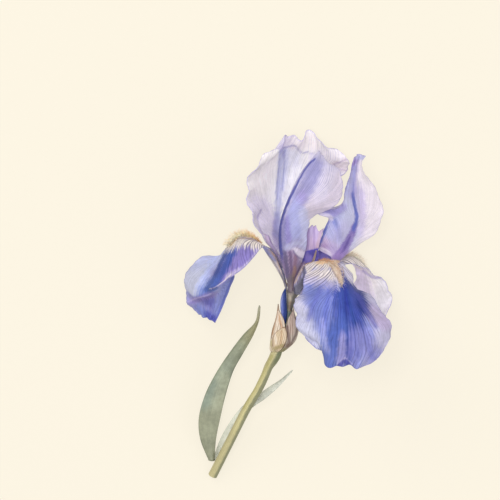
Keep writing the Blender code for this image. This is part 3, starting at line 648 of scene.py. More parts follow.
fallLeft = {
    **fall,
    "net": [
        [(-7.9, 1.3, -1.8), (-11, 12.5, -5), (-16, 24, -9), (-25, 29, -14), (-38, 27.5, -18),
         (-52, 22, -17), (-65, 20.8, -13), (-73, 12.5, -10), (-75, 2, -10), (-73.5, -6, -10),
         (-72.5, -10.5, -11), (-66, -14.5, -12)],
        [(-8.5, 1.2, -1.0), (-12.5, 11.3, -2.7), (-18.5, 22.8, -5), (-26.5, 31, -7), (-38, 33.5, -8),
         (-49, 24.5, -7), (-59, 17, -4), (-67.5, 7, -1), (-69.5, -3, -0.5), (-67, -8, -5), (-66.5, -12, -8),
         (-64, -17, -10)],
        [(-8.7, 1.2, 0), (-13.1, 10.2, 0), (-20, 21.3, 0), (-27.5, 31.6, 0.5), (-37.5, 35.4, 2),
         (-46.5, 28.5, 5), (-54, 15.5, 8), (-61.5, 3, 8), (-64, -3.6, 5), (-61, -6.5, -1),
         (-61, -12.5, -5.5), (-61, -18.2, -9)],
        [(-8.6, 1.2, 0.9), (-13, 11.3, 2.6), (-18.8, 22.5, 4.8), (-26, 30.5, 7), (-36, 29.5, 11.5),
         (-44, 21.5, 15), (-51.5, 11.5, 16.5), (-59.2, 1.5, 12.5), (-57, -2, 6), (-52, -1, -1),
         (-54.5, -11, -5.5), (-58, -19.6, -8.8)],
        [(-8.2, 1.3, 1.7), (-12, 12.4, 4.4), (-17, 23.6, 8), (-24, 28, 11.5), (-30, 21.5, 16.5),
         (-38, 13.2, 20), (-47.5, 6.4, 21.5), (-57.5, 1.2, 16.5), (-50.5, 6.5, 8.5), (-43, 9.6, 0),
         (-48.5, -7, -5), (-55, -21.3, -8.5)],
    ],
    "cells": (110, 230), "ruffle": (0.8, 6), "topSide": 1, "branches": (0.55, 11, 1.3, 13, 18, 25),
    "top": {"ground": (160, 164, 208), "veins": 0.3, "rim": ((134, 132, 196), 0.8, 0.6), "strokes": [
        ([(-66, 15), (-70, 5), (-68, -2)], 12, 8, (196, 200, 220), 0.95, 0.3, (0.3, 0.72)),
        ([(-50, 24), (-58, 22.5), (-66, 17)], 1.5, 5, (168, 176, 220), 0.55, None, (0.3, 0.72)),
        ([(-53, 20), (-57, 12), (-62, 3)], 4, 4.5, (192, 204, 252), 0.9, None, (0.3, 0.72)),
        ([(-34, 25), (-41, 18), (-48, 11)], 10, 6, (134, 120, 188), 0.9, 0.4, (0.2, 0.7)),
        # dark blue along the ridge: the fall's own blue, deepened as painted shade on the near side of the
        # fold
        ([(-43.5, 26), (-47.5, 18), (-53, 8), (-58, 1.5)], 2.4, 2.8, (64, 88, 168), 0.95, 0.4, (0.3, 0.74)),
        ([(-47.3, 25.4), (-51, 19), (-54, 12), (-57, 6), (-60, 1)], 1.2, 1.4, (34, 62, 142), 0.9, None,
         (0.3, 0.74)),
        ([(-58, 3), (-62, -2)], 4, 4, (84, 108, 186), 0.8, None, (0.4, 0.76)),
        ([(-27, 25), (-30, 20), (-36, 14.5), (-45, 9.5)], 1.4, 2.2, (198, 188, 218), 0.8, None,
         (0.2, 0.62)),
        ([(-44.5, 29), (-40, 31), (-34, 31.2), (-27.5, 29.2)], 3, 3, (238, 230, 222), 1, 1, None, 2.4),
        ([(-45, 10), (-50, 5.5), (-55, 2), (-58.6, 0.8)], (0.25, 0.1), 0.4, (228, 220, 214), 0.75, 0,
         (0.5, 0.7)),
        ([(-45, 31), (-41, 35.5), (-36, 36.5), (-28, 34.5), (-24.5, 31.5)], 2.6, 1.2, (244, 226, 190), 0.9,
         0.1),
        ([(-45.5, 29), (-41, 33), (-35, 33.6), (-27, 31.8)], 0.35, 0.5, (150, 110, 80), 0.5),
        # painted shade: the down-turned end of the blade, below the fold, in deeper violet
        ([(-62, -9), (-57, -16), (-54, -19)], 9, 6, (100, 98, 174), 0.9, 0.5, (0.76, 1)),
        ([(-46, 4), (-49, -5), (-53, -14)], 5, 3.5, (140, 148, 206), 0.9, 0.4, (0.72, 1)),
        ([(-43.5, 9), (-47, 0), (-51, -10), (-53.5, -18)], 0.8, 0.8, (92, 106, 186), 0.7, None, (0.74, 1)),
        ([(-74, -8), (-69, -11), (-65, -13)], 4, 5, (164, 162, 214), 0.8, None, (0.74, 1), 0.2),
        ([(-69, -7), (-62, -4.5), (-57, -3)], 2, 2, (146, 128, 194), 0.6),
        # painted highlight: a thin pale line along the ridge of the fold at the tip
        ([(-74, -8.5), (-68, -5.6), (-62, -4), (-58, -2.4)], 0.3, 0.6, (196, 186, 222), 0.5),
        ([(-64, -14), (-61, -17)], 2, 4, (104, 128, 200), 0.6, None, (0.8, 1)),
        ([(-58, -18), (-55, -20.5)], 3, 3, (80, 84, 174), 0.8, None, (0.8, 1)),
    ]},
    "below": {"ground": (192, 188, 236), "veins": 0.4, "rim": ((132, 124, 196), 0.8, 0.6), "strokes": [
        ([(-28, 30), (-38, 33), (-47, 28), (-54, 15), (-61, 3)], (3, 0.8), 1.6, (192, 184, 166), 0.7),
        # the claw's pale colour, painted lighter than it is to make up for the shade on its steep sides
        ([(-10, 5), (-16, 16), (-24, 27)], 8, 4, (244, 232, 230), 0.95, 0.6, (0, 0.3)),
        ([(-9, 2), (-11, 7)], 3, 3, (140, 134, 140), 0.8, None, (0, 0.3)),
        ([(-24, 27), (-20, 25), (-16, 21)], 3, 1.6, (150, 158, 226), 0.85, None, (0, 0.3)),
        ([(-11, 11), (-14, 17), (-17, 22), (-20, 25.5)], 0.7, 0.9, (176, 150, 136), 0.55, None, (0, 0.3)),
        ([(-9, 8), (-12, 14), (-15, 21), (-18, 25), (-23, 30.5)], 0.9, 0.7, (190, 148, 102), 0.85, None,
         (0, 0.3)),
        ([(-10, 5), (-15, 15), (-20, 22), (-25, 27)], 0.3, 0.6, (110, 106, 140), 0.5, None, (0, 0.3)),
    ]},
}
makeSheet("leftFall", fallLeft, "fall_left")

fallBack = {
    **fall,
    "net": [
        [(-1.0, -0.8, -3.8), (9, 6, -6), (20, 13, -9), (33, 17, -13), (43, 13.2, -18), (51, 9, -24),
         (59, 0, -30), (60, -9, -35), (54, -24, -38)],
        [(-1.6, -0.5, -4.5), (8.5, 7.5, -7.5), (19, 15.5, -11.5), (32.5, 20.6, -16.5), (42.5, 16, -23.5),
         (48, 8, -30), (52, -3, -36), (52, -15, -40), (46, -32, -40.5)],
        [(-2.2, -0.3, -4.7), (7, 8.5, -9), (17.5, 17, -14), (31, 22, -20), (39.5, 17.5, -28.5),
         (43, 7, -36), (43, -6, -42.5), (41, -20, -45), (37, -38, -42.5)],
        [(-2.8, -0.1, -4.6), (5.5, 9.8, -10.2), (16, 18, -16.5), (29, 20.5, -23), (37.3, 17, -31),
         (39.8, 7.5, -38), (35, -6, -44), (31, -20, -45.2), (29, -37, -43)],
        [(-3.5, 0.1, -4.2), (4, 11, -10.5), (14, 18.5, -18), (27, 18, -26), (34.8, 15.8, -33),
         (37.4, 7.5, -39), (28, -6, -43.5), (21, -19, -44.5), (23, -33, -43)],
    ],
    "cells": (80, 110), "ruffle": (1.2, 6), "topSide": -1, "branches": (0.6, 9, 1.5, 11, 14, 24),
    # near-white top: the fall's pale colour, painted lighter to make up for the shade the front fall casts on
    # it
    "top": {"ground": (252, 247, 252), "veins": 0.1, "rim": ((186, 176, 216), 0.8, 0.6), "strokes": [
        ([(37, 14), (40, 6), (42, -2)], 5, 6, (228, 214, 246), 0.8),
        ([(42, 12), (48, 8), (52, 8)], 0.7, 0.8, (168, 154, 216), 0.6),
        ([(28, 20), (33, 22), (38, 18)], 4, 2, (240, 228, 216), 0.8),
    ]},
    "below": {"ground": (172, 175, 216), "veins": 0.45, "rim": ((140, 140, 200), 0.8, 0.6), "strokes": [
        ([(43, 2), (43, -10), (40, -25)], 12, 10, (80, 92, 176), 0.9),
        ([(31, 22), (40, 17), (43, 8)], 11, 5, (238, 232, 227), 1, 1),
    ]},
}
makeSheet("backFall", fallBack, "fall_back")
print("falls made")


# Standards: three upright petals.

standard = {**petal, "topSide": -1, "ragged": 0.035, "finish": standardFinish, "slot": "standard_lavender"}

standardFront = {
    **standard,
    "net": [
        [(-7.5, 1, 2.8), (-8.9, 10, 3.4), (-10.6, 19, 4.6), (-11.6, 29, 5.2), (-10.5, 39, 5.5),
         (-7.5, 49, 6.5), (-2, 60, 8), (4, 71, 11), (9, 80, 15), (12, 88, 21)],
        [(-7.0, 0.8, 3.6), (-9.1, 10, 6), (-11.3, 19, 9.5), (-12.7, 29, 13), (-12.5, 39, 17),
         (-10, 49.5, 20), (-5, 60.5, 23), (0.7, 72, 24), (6.3, 81.5, 24), (12, 88.8, 23.5)],
        [(-6.4, 0.7, 4.2), (-9.3, 9, 8.7), (-11.6, 18, 14), (-13.1, 28, 20), (-13.2, 38, 26),
         (-11, 48.5, 30), (-6.5, 60, 33), (-1, 72, 33), (5.2, 81.4, 30), (12.4, 89.5, 25)],
        [(-5.8, 0.6, 4.4), (-6.2, 8.8, 9.7), (-5.5, 18, 17.5), (-4.8, 28, 24), (-4, 38, 30), (-0.5, 48, 34),
         (8, 57, 36), (14, 69, 36), (15.5, 79, 32), (14, 87.5, 26)],
        [(-5.3, 0.5, 4.4), (-3.4, 9, 8.6), (1.4, 19.5, 15.5), (4.1, 29.4, 20), (4.6, 38.5, 24),
         (7.3, 46, 27), (20.5, 53.7, 28), (27.8, 64, 28), (25, 76.7, 26), (16, 84.5, 24.5)],
    ],
    "cells": (96, 120), "ruffle": (1.0, 5), "branches": (0.72, 4, 1.6, 18, 16, 44),
    "top": {"ground": (197, 192, 219), "veins": 0.5, "rim": ((166, 158, 206), 0.7, 0.6), "strokes": [
        ([(8, 56), (15, 60), (22, 64)], 12, 8, (219, 208, 218), 0.9),
        ([(12, 66), (22, 70)], 10, 7, (217, 207, 219), 0.85),
        ([(13, 72), (14, 80), (14, 86)], 9, 8, (210, 205, 222), 0.7),
        ([(-4, 53), (0, 60), (5, 68), (9, 78)], 5, 5, (141, 139, 188), 0.85, 0.25, None, 0.4),
        ([(-4, 53), (-1, 58)], 3.5, 4, (166, 148, 206), 0.5),
        ([(-5, 48), (-4, 38), (-3, 30)], 9, 6, (170, 174, 217), 0.85),
        ([(2, 48), (3.5, 38), (3, 30)], 3, 3, (198, 200, 227), 0.8),
        ([(-8.6, 46), (-8, 36), (-7, 26)], (0.6, 2.4), 2.2, (150, 138, 199), 0.8),
        ([(-6, 58), (-9.5, 50), (-11.5, 42), (-11.5, 32)], 1.0, 1.0, (196, 188, 219), 0.7),
        # painted shade along the inner side of the rib
        ([(-9, 12), (-11, 24), (-12.3, 34), (-11.8, 44)], 3.2, 2, (116, 110, 168), 0.6),
        ([(-8, 2), (-9.5, 12), (-12, 22), (-13.2, 32), (-13, 42), (-10, 52), (-6, 61), (-1, 71), (4, 79.5),
         (9, 84.5)], (1.8, 0.3), 0.9, (70, 74, 152), 0.92),
        ([(-7, 4), (-6, 12), (-4, 20)], 9, 5, (166, 142, 172), 0.85, 0.45),
        ([(-7.5, 4), (-8.5, 14), (-10, 24)], 1.2, 1.4, (92, 84, 122), 0.75),
        ([(-5.5, 4), (-5.8, 14), (-6.5, 24)], 0.9, 1.2, (104, 80, 120), 0.7),
        ([(-3.5, 6), (-3.6, 14), (-3, 22)], 1.2, 1.2, (150, 112, 130), 0.65),
        ([(-4.2, 2), (-4.3, 9), (-3.5, 14)], 1.0, 1, (196, 156, 132), 0.6),
        ([(-7, -1), (-6, 4)], 4, 3, (128, 116, 118), 0.8),
        ([(-7, 28), (-2, 29.6), (3, 28)], 2, 2, (198, 202, 228), 0.6),
        ([(-2.6, 25.4), (0, 23.8), (2.2, 21.2)], (2, 4), 1.5, (226, 218, 235), 0.9, 0.2),
        ([(-4.5, 25.5), (-3, 23), (0.5, 20.4), (2.2, 19.9)], 0.5, 0.6, (110, 92, 142), 0.7),
        ([(-5, 28.3), (0, 28.6), (3.6, 27)], 0.4, 0.6, (170, 160, 205), 0.5),
    ]},
    "below": {"ground": (200, 195, 224), "veins": 0.3, "rim": ((166, 158, 206), 0.7, 0.6), "strokes": [
        ([(-7, 2), (-8, 14), (-8, 24)], 8, 6, (150, 126, 160), 0.8, 0.8),
    ]},
}
makeSheet("frontStandard", standardFront, "standard_front")

standardRight = {
    **standard,
    "net": [
        [(-0.6, -0.7, 1.6), (7.3, 8.3, 3.4), (14.5, 15.6, 5), (20.3, 21, 6), (11.8, 27, 9),
         (14.5, 37.5, 12), (18.5, 46.5, 15), (11, 50, 20), (23.8, 53.2, 18), (29.4, 62.8, 14),
         (31.4, 73, 9), (34.8, 85, 3)],
        [(-0.4, -0.8, 0.9), (7.8, 7.5, 2.5), (15.4, 14.4, 3.8), (22, 21, 5.2), (21, 29, 8), (25, 38.5, 11),
         (28, 47, 13), (27, 52, 14), (29, 57.5, 13), (31, 65.5, 11), (32.8, 75, 7), (35.4, 86, 2.6)],
        [(-0.3, -0.9, 0), (8, 6.5, 1), (16, 13.2, 2), (24, 20, 3), (30, 30, 3), (35, 39.5, 3), (37, 47, 4),
         (35.8, 53, 5), (34.6, 59, 5), (34.3, 67, 5), (34.8, 76, 4), (36.4, 87, 2)],
        [(-0.3, -1, -0.9), (9, 5.8, -0.5), (17.5, 12.6, 0), (27, 20.6, 0.5), (35, 30.5, 0), (42.5, 40, -1),
         (45.5, 49, -1), (44.5, 56, -1), (43, 63, -1), (41, 70.5, -1), (38, 79, 0), (38.6, 88.4, 0)],
        [(-0.4, -0.9, -1.6), (9.5, 5.6, -2), (18.5, 12.2, -2), (29, 22, -2.5), (40, 30.8, -4),
         (49.6, 37.6, -7), (53.3, 47, -8), (53.3, 57, -8), (49, 65, -7), (45, 73, -6), (39.2, 80.6, -3),
         (43.1, 86.8, -2)],
    ],
    "cells": (96, 130), "ruffle": (1.0, 6), "branches": (0.62, 4, 1.6, 18, 22, 38),
    "top": {"ground": (212, 206, 232), "veins": 0.45, "rim": ((168, 160, 208), 0.7, 0.6), "strokes": [
        ([(44, 40), (48, 50), (47, 62), (42, 74)], 12, 8, (240, 232, 236), 0.95, 0.45),
        ([(38, 40), (39, 50), (38, 62)], 4, 4, (198, 186, 219), 0.8),
        ([(27, 60), (26, 50), (28, 42)], 12, 7, (202, 204, 230), 0.9),
        ([(20, 44), (19, 38), (20, 33)], 8, 5, (182, 184, 223), 0.9),
        ([(22, 45), (24.5, 40), (25.5, 35)], 1.4, 2, (134, 144, 206), 0.8),
        ([(15, 29), (20, 26), (25, 24)], 7, 4, (205, 184, 213), 0.9),
        ([(17, 28), (21, 27)], 2, 2.5, (176, 144, 192), 0.7),
        ([(24, 31), (27, 37)], 5, 5, (191, 184, 219), 0.6),
        ([(11, 27.5), (13, 32), (15.5, 38), (18, 45.5)], (2.0, 0.5), 1.4, (84, 98, 176), 0.9),
        # painted highlight along the turned-over lower margin, over the dark hollow
        ([(11.5, 26.7), (16, 26.3), (18.3, 24.6), (21, 21)], 1.2, 0.8, (227, 216, 233), 0.9),
        ([(23.8, 20), (27.5, 25), (30.8, 31), (33.5, 36), (35.2, 41)], (5, 2.2), 1.8, (131, 110, 180), 0.9,
         0.4),
        ([(24, 19.6), (29, 26.5), (32.5, 33)], 1.2, 1.2, (98, 78, 154), 0.7),
        ([(27.5, 22), (31.5, 28.5), (34, 35)], 0.7, 0.8, (168, 150, 205), 0.6),
        ([(34.2, 62), (34.5, 72), (35.5, 82)], 2.5, 2.5, (179, 167, 215), 0.8),
        ([(35, 40), (36.8, 46.5), (36, 52), (35, 57), (34.2, 62)], (1.3, 0.5), 1.3, (92, 106, 186), 0.9),
        ([(34.2, 60), (34.6, 70), (36, 80)], (0.8, 0.2), 1.2, (112, 118, 192), 0.6),
        ([(31, 66), (33.5, 76)], 3, 3, (178, 178, 219), 0.7),
        ([(28, 63.5), (31.2, 73), (33.8, 81)], 0.9, 1, (130, 124, 192), 0.8),
        ([(35.5, 84), (37, 86)], 2.5, 1.5, (142, 122, 192), 0.7),
        ([(38, 86.5), (41, 86)], 2, 1.5, (191, 193, 227), 0.8),
        ([(17, 52), (21, 51), (25, 52.5)], 4, 2.5, (160, 150, 207), 0.8),
        ([(11, 50), (15, 48.5), (19, 47)], 2, 1.5, (223, 215, 233), 0.9),
        ([(8, 6), (16, 13), (23, 19)], 5, 4, (170, 142, 200), 0.8),
    ]},
    "below": {"ground": (206, 199, 226), "veins": 0.3, "rim": ((168, 160, 208), 0.7, 0.6), "strokes": [
        ([(8, 6), (24, 20), (34, 38), (36, 50), (34.5, 66)], (5, 1.5), 2.5, (120, 104, 178), 0.85),
    ]},
}
makeSheet("rightStandard", standardRight, "standard_right")

standardBack = {
    **standard,
    "net": [
        [(-7.3, 0.9, -3.2), (-8.8, 9, -5), (-10.8, 16.5, -7), (-15, 24.5, -8.5), (-23, 32, -9),
         (-28.5, 42, -9), (-32.3, 51, -10), (-34, 60, -11), (-34.2, 68.5, -12), (-30.2, 78, -13),
         (-23.6, 86.8, -15)],
        [(-6.7, 0.7, -3.9), (-8, 9, -7), (-10, 17, -10), (-13, 26, -14), (-19, 35, -18), (-22.5, 45, -22),
         (-24.5, 54, -25), (-25, 63.5, -27), (-25, 73, -27), (-22.5, 83, -25), (-16, 91.5, -21)],
        [(-6.0, 0.6, -4.5), (-7.5, 8.5, -8.5), (-9.5, 17, -13.5), (-12, 27, -20), (-13.5, 37, -28),
         (-14, 47, -35), (-13.5, 57, -41), (-12.5, 67, -44.2), (-12, 78, -43.5), (-11.5, 89, -39),
         (-9, 100.5, -31)],
        [(-5.3, 0.4, -4.6), (-5.5, 8.5, -8.5), (-5.5, 17, -13), (-5, 27, -19.5), (-4, 37, -27),
         (-2, 46.5, -34), (2, 56, -40), (6, 66, -44), (9, 78, -44.8), (10, 90, -40), (6.5, 103.5, -31)],
        [(-4.6, 0.3, -4.3), (-3.5, 8.5, -7.5), (-2.5, 17, -10.5), (-1, 26.5, -14.5), (1, 36, -20),
         (4, 45.5, -26), (11, 56, -31), (19, 65.5, -34), (29, 76, -35), (32.8, 84, -33), (24, 91.3, -30)],
    ],
    "tip": [(-23.6, 86.8, -15), (-21.3, 88.9, -16.5), (-18.5, 90, -18), (-15.4, 91.9, -20),
            (-12.2, 93, -22), (-10.3, 97.5, -23.5), (-9, 101, -24.5), (-7.3, 99.4, -25.5),
            (-5.4, 99.9, -26), (-3.5, 101.1, -27), (-1.7, 100.6, -27.5), (0.5, 98.6, -28),
            (2.6, 99.2, -28.5), (4.4, 101.6, -29), (6.2, 103.9, -29.5), (8.7, 102.4, -30),
            (11.5, 99.5, -30), (14.6, 96.6, -30), (17.5, 92.6, -30), (21, 91.9, -30), (24.5, 91.4, -30)],
    "cells": (110, 130), "ruffle": (1.4, 6), "ragged": 0.022, "branches": (0.6, 4, 1.7, 24, 26, 40),
    # near-white ground: the petal's own pale colour, painted as light as it goes to make up for the shade it
    # lies in
    "top": {"ground": (255, 254, 252), "veins": 0.28, "rim": ((190, 180, 220), 0.8, 0.6), "strokes": [
        ([(-31, 62), (-27, 75), (-22, 84)], 10, 8, (255, 250, 248), 0.8),
        ([(-6, 90), (-5, 78), (-6, 66)], 8, 6, (236, 236, 248), 0.8),
        ([(-9, 92), (-9, 80), (-11, 68)], 1.2, 2.5, (206, 208, 238), 0.6),
        ([(-11, 90), (-12, 82), (-13, 70), (-13.5, 60), (-14.5, 50), (-14.5, 42)], (0.6, 2), 2.6,
         (188, 192, 230), 0.7),
        ([(-10.2, 100), (-12.3, 93), (-13.6, 82), (-14.6, 70), (-15, 60)], 0.35, 0.8, (150, 152, 208), 0.6),
        ([(-9.6, 92), (-10.4, 80), (-11.4, 66)], 0.3, 0.8, (160, 162, 214), 0.5),
        ([(-11.5, 94), (-10.5, 88)], 0.8, 1.2, (162, 156, 208), 0.5),
        ([(-25, 47), (-22, 38), (-18, 33)], 12, 6, (248, 240, 252), 0.9, 0.7),
        ([(-16, 44), (-16, 35), (-14, 30)], (0.6, 3), 2.6, (190, 174, 220), 0.7, None, None, 0.4),
        ([(-14.6, 48), (-14.5, 38)], (1, 3), 2.6, (166, 168, 220), 0.7, None, None, 0.4),
        ([(-25.4, 52), (-27.6, 47), (-27, 42), (-24.5, 37)], 0.4, 0.8, (168, 152, 200), 0.6),
        ([(-30, 48), (-28.5, 42)], 2, 1.5, (237, 230, 233), 0.8),
        ([(-7, 97), (-3, 97)], 6, 3, (232, 222, 238), 0.8),
        ([(5, 97), (10, 97)], 8, 5, (252, 246, 244), 0.8, 0.2),
        # painted shade: a dark line in the crease where the top turns back
        ([(-11.5, 93), (-8, 93.5), (-3.5, 94.5), (-1, 92), (1.5, 90), (5, 90.2), (8, 89.2), (10.5, 88.5),
         (13.5, 90.8)], 0.3, 0.6, (156, 150, 204), 0.65),
        ([(17, 86), (25, 88)], 8, 6, (246, 240, 246), 0.8, 0.25),
        ([(24, 80), (30, 80), (32, 84)], 5, 3, (240, 228, 232), 0.8),
        ([(22.5, 82), (26, 83.5), (31, 85.5)], 0.4, 0.6, (190, 174, 201), 0.6),
        ([(23, 81), (26, 76), (28, 73)], 0.5, 0.6, (176, 158, 192), 0.7),
        ([(26.5, 79), (31, 78)], 0.4, 0.6, (180, 162, 196), 0.6),
        ([(12, 84), (16, 78), (22, 76)], 4, 4, (216, 212, 238), 0.6),
    ]},
    "below": {"ground": (216, 210, 229), "veins": 0.3, "rim": ((176, 166, 208), 0.8, 0.6), "strokes": [
        ([(-6, 2), (-9, 16), (-13, 37), (-13, 60), (-11, 90)], (6, 2), 3, (150, 140, 200), 0.8),
        ([(-6, 2), (-8, 12)], 8, 6, (140, 120, 130), 0.8),
    ]},
}
makeSheet("backStandard", standardBack, "standard_back")
print("standards made")


# Style arms with their crests.

styleArm = {**petal, "finish": styleFinish, "slot": "style_lavender"}

styleFront = {
    **styleArm,
    "net": [
        [(-5.1, 0.4, 1.0), (-4.6, 8, 3.8), (-1.4, 15.3, 7.5), (1.0, 21.8, 10.5), (2.2, 25.8, 13),
         (3.2, 32, 15.5), (4.8, 39.2, 17)],
        [(-3.6, 0.1, 2.0), (-0.3, 8.3, 5), (5, 16, 7.5), (8.5, 22, 9.5), (8.6, 26, 14), (8.8, 33, 17.5),
         (9.3, 41.5, 17)],
        [(-2.7, -0.1, 1.5), (1.8, 7.2, 3.6), (8.5, 15, 5.5), (12, 21, 8), (11.8, 26, 13), (13.2, 33, 16.5),
         (14.8, 39, 16)],
    ],
    "tip": [(4.4, 38.6, 17), (5.2, 39.6, 17.2), (6.6, 41.2, 17.4), (8, 42.2, 17.4), (8.7, 41, 17.2),
            (10, 42, 17), (10.8, 40, 16.8), (12, 38, 16.6), (13.3, 38.8, 16.4), (15.2, 40, 16.2)],
    "cells": (60, 70), "crimp": 0.1, "topSide": -1, "branches": (0, 0, 0.4, 7, 3, 0),
    "top": {"ground": (204, 186, 224), "veins": 0.5, "rim": ((140, 112, 178), 0.5, 0.6), "strokes": [
        ([(6, 31), (9, 28)], 4, 3, (216, 190, 222), 0.6),
        ([(5, 39), (5, 33), (4.5, 27)], 1, 1, (160, 136, 192), 0.6),
        ([(9, 41), (9, 34), (9, 28)], 0.8, 0.8, (158, 134, 190), 0.5),
        ([(13.5, 38), (12.5, 33), (11, 27)], 1.4, 1, (198, 172, 192), 0.7),
        # painted shade: the dark hollow under the arm, above the fall, in indigo
        ([(3, 21.8), (6.5, 22.8), (10, 23.8)], 5.6, 0.7, (100, 90, 196), 1, 0.15),
        ([(-2, 8), (2, 14), (6, 18)], 9, 2, (100, 90, 192), 0.9),
        ([(-5, 1), (-2.6, 8), (0.2, 13)], 5, 2, (172, 150, 172), 0.9, 0.6),
        ([(5, 21.5), (6, 20)], 2.2, 2, (158, 142, 216), 0.7),
    ]},
    # the underside is painted deep indigo as shade
    "below": {"ground": (120, 108, 186), "veins": 0.5, "rim": ((100, 80, 150), 0.5, 0.6)},
}
makeSheet("frontStyle", styleFront, "style_front")

styleLeft = {
    **styleArm,
    "net": [
        [(-5.4, 0.6, -1.3), (-7.6, 9.5, -3), (-11, 18, -4.2), (-15.5, 26, -5), (-18.5, 31, -5.5),
         (-20, 35, -6)],
        [(-6.0, 0.7, 0), (-8.4, 9.2, -0.4), (-13, 17.5, -0.6), (-18, 26, -1), (-21.5, 31, -1.5),
         (-23, 36.5, -3)],
        [(-5.5, 0.6, 1.2), (-7.8, 9, 1.8), (-11.5, 17.5, 2.4), (-16, 25.5, 2.8), (-19, 31, 2.4),
         (-20.5, 35, 1)],
    ],
    "cells": (40, 60), "topSide": 1, "branches": (0, 0, 0.4, 5, 3, 0),
    "top": {"ground": (200, 184, 216), "veins": 0.6, "rim": ((150, 130, 184), 0.5, 0.6), "strokes": [
        ([(-6, 1), (-10, 12)], 6, 5, (150, 132, 160), 0.8),
    ]},
    "below": {"ground": (196, 180, 214), "veins": 0.5, "rim": ((150, 130, 184), 0.5, 0.6)},
}
makeSheet("leftStyle", styleLeft, "style_left")

styleBack = {
    **styleArm,
    "net": [
        [(-4.6, 0.4, -1.6), (0.6, 10.8, -5.5), (8, 21, -9), (16, 29, -13), (22, 33, -17), (25, 37, -20),
         (27, 43, -21)],
        [(-3.7, 0.1, -2.0), (3.6, 9, -4.6), (13, 17.8, -8), (22, 24.5, -11.5), (27, 28.5, -16),
         (29.5, 33.5, -19), (32, 41, -20)],
        [(-2.7, -0.1, -1.6), (6.5, 8, -3.2), (16.5, 15.5, -4.8), (25, 21.5, -7), (30.5, 26, -11),
         (33.5, 31, -14), (37, 38, -15)],
    ],
    "cells": (40, 60), "topSide": -1, "branches": (0, 0, 0.4, 6, 3, 0),
    # painted shade: deep indigo with a dark rim, for the shadowed hollow where this arm shows
    "top": {"ground": (112, 102, 204), "veins": 0.3, "rim": ((50, 44, 120), 0.6, 0.7), "strokes": [
        ([(14, 22), (17, 22)], 3, 2.5, (160, 148, 218), 0.7),
        ([(28, 32), (32, 40)], 8, 4, (190, 172, 212), 0.9),
    ]},
    "below": {"ground": (170, 156, 206), "veins": 0.5, "rim": ((120, 100, 170), 0.5, 0.6)},
}
makeSheet("backStyle", styleBack, "style_back")
print("style arms made")


# Stamens: a thin filament and a grooved anther.

stamens = {
    "front": [(-3.0, 0, 3.2), (1.2, 7.6, 7.6), (6.4, 15, 12.5), (8.6, 19.5, 15.2), (10.4, 25.8, 17.6)],
    "left": [(-7.3, 1.2, 0), (-10.3, 7.4, 0), (-12.8, 12.6, 0), (-15.4, 17.2, 0.2), (-18.4, 22.4, 0.4)],
    "back": [(-2.9, 0.1, -3.3), (2.4, 7.4, -6.3), (7, 12.2, -8.6), (10.8, 15.6, -10.2),
             (14.6, 18.8, -11.6)],
}
for side, path in stamens.items():
    makeRod(side + "Stamen", {
        "path": path, "radii": [0.4, 0.38, 0.5, 0.85, 0.45], "cells": (20, 40), "lines": 3,
        "shape": lambda t, turn: 1 - 0.22 * ease((t - 0.5) / 0.1) * np.cos(2 * turn) ** 8,
        "finish": hairFinish, "slot": "anther_tan",
        "top": {"ground": (208, 190, 176), "veins": 0.2, "strokes": [
            ([(8.2, 19), (10, 25)], 0.4, 0.5, (168, 146, 140), 0.7),
            ([(-3, 0), (1.2, 7.6), (5, 13.5)], 4, 2, (84, 76, 92), 0.95),
        ]},
    }, "stamen_" + side)
print("stamens made")


# Beards: some hundreds of fine hairs rooted on each fall's midrib.

def hairShape():
    # one straight, tapering hair, 1 high: its points and faces
    bpy.ops.mesh.primitive_cone_add(vertices=4, radius1=1, radius2=0.12, depth=2, end_fill_type="NGON")
    hair = bpy.context.object
    cutLengthwise(hair, 3)
    points = pointsOf(hair.data)
    points[:, 2] = (points[:, 2] + 1) / 2
    faces = [list(p.vertices) for p in hair.data.polygons]
    bpy.data.objects.remove(hair)
    return points, faces


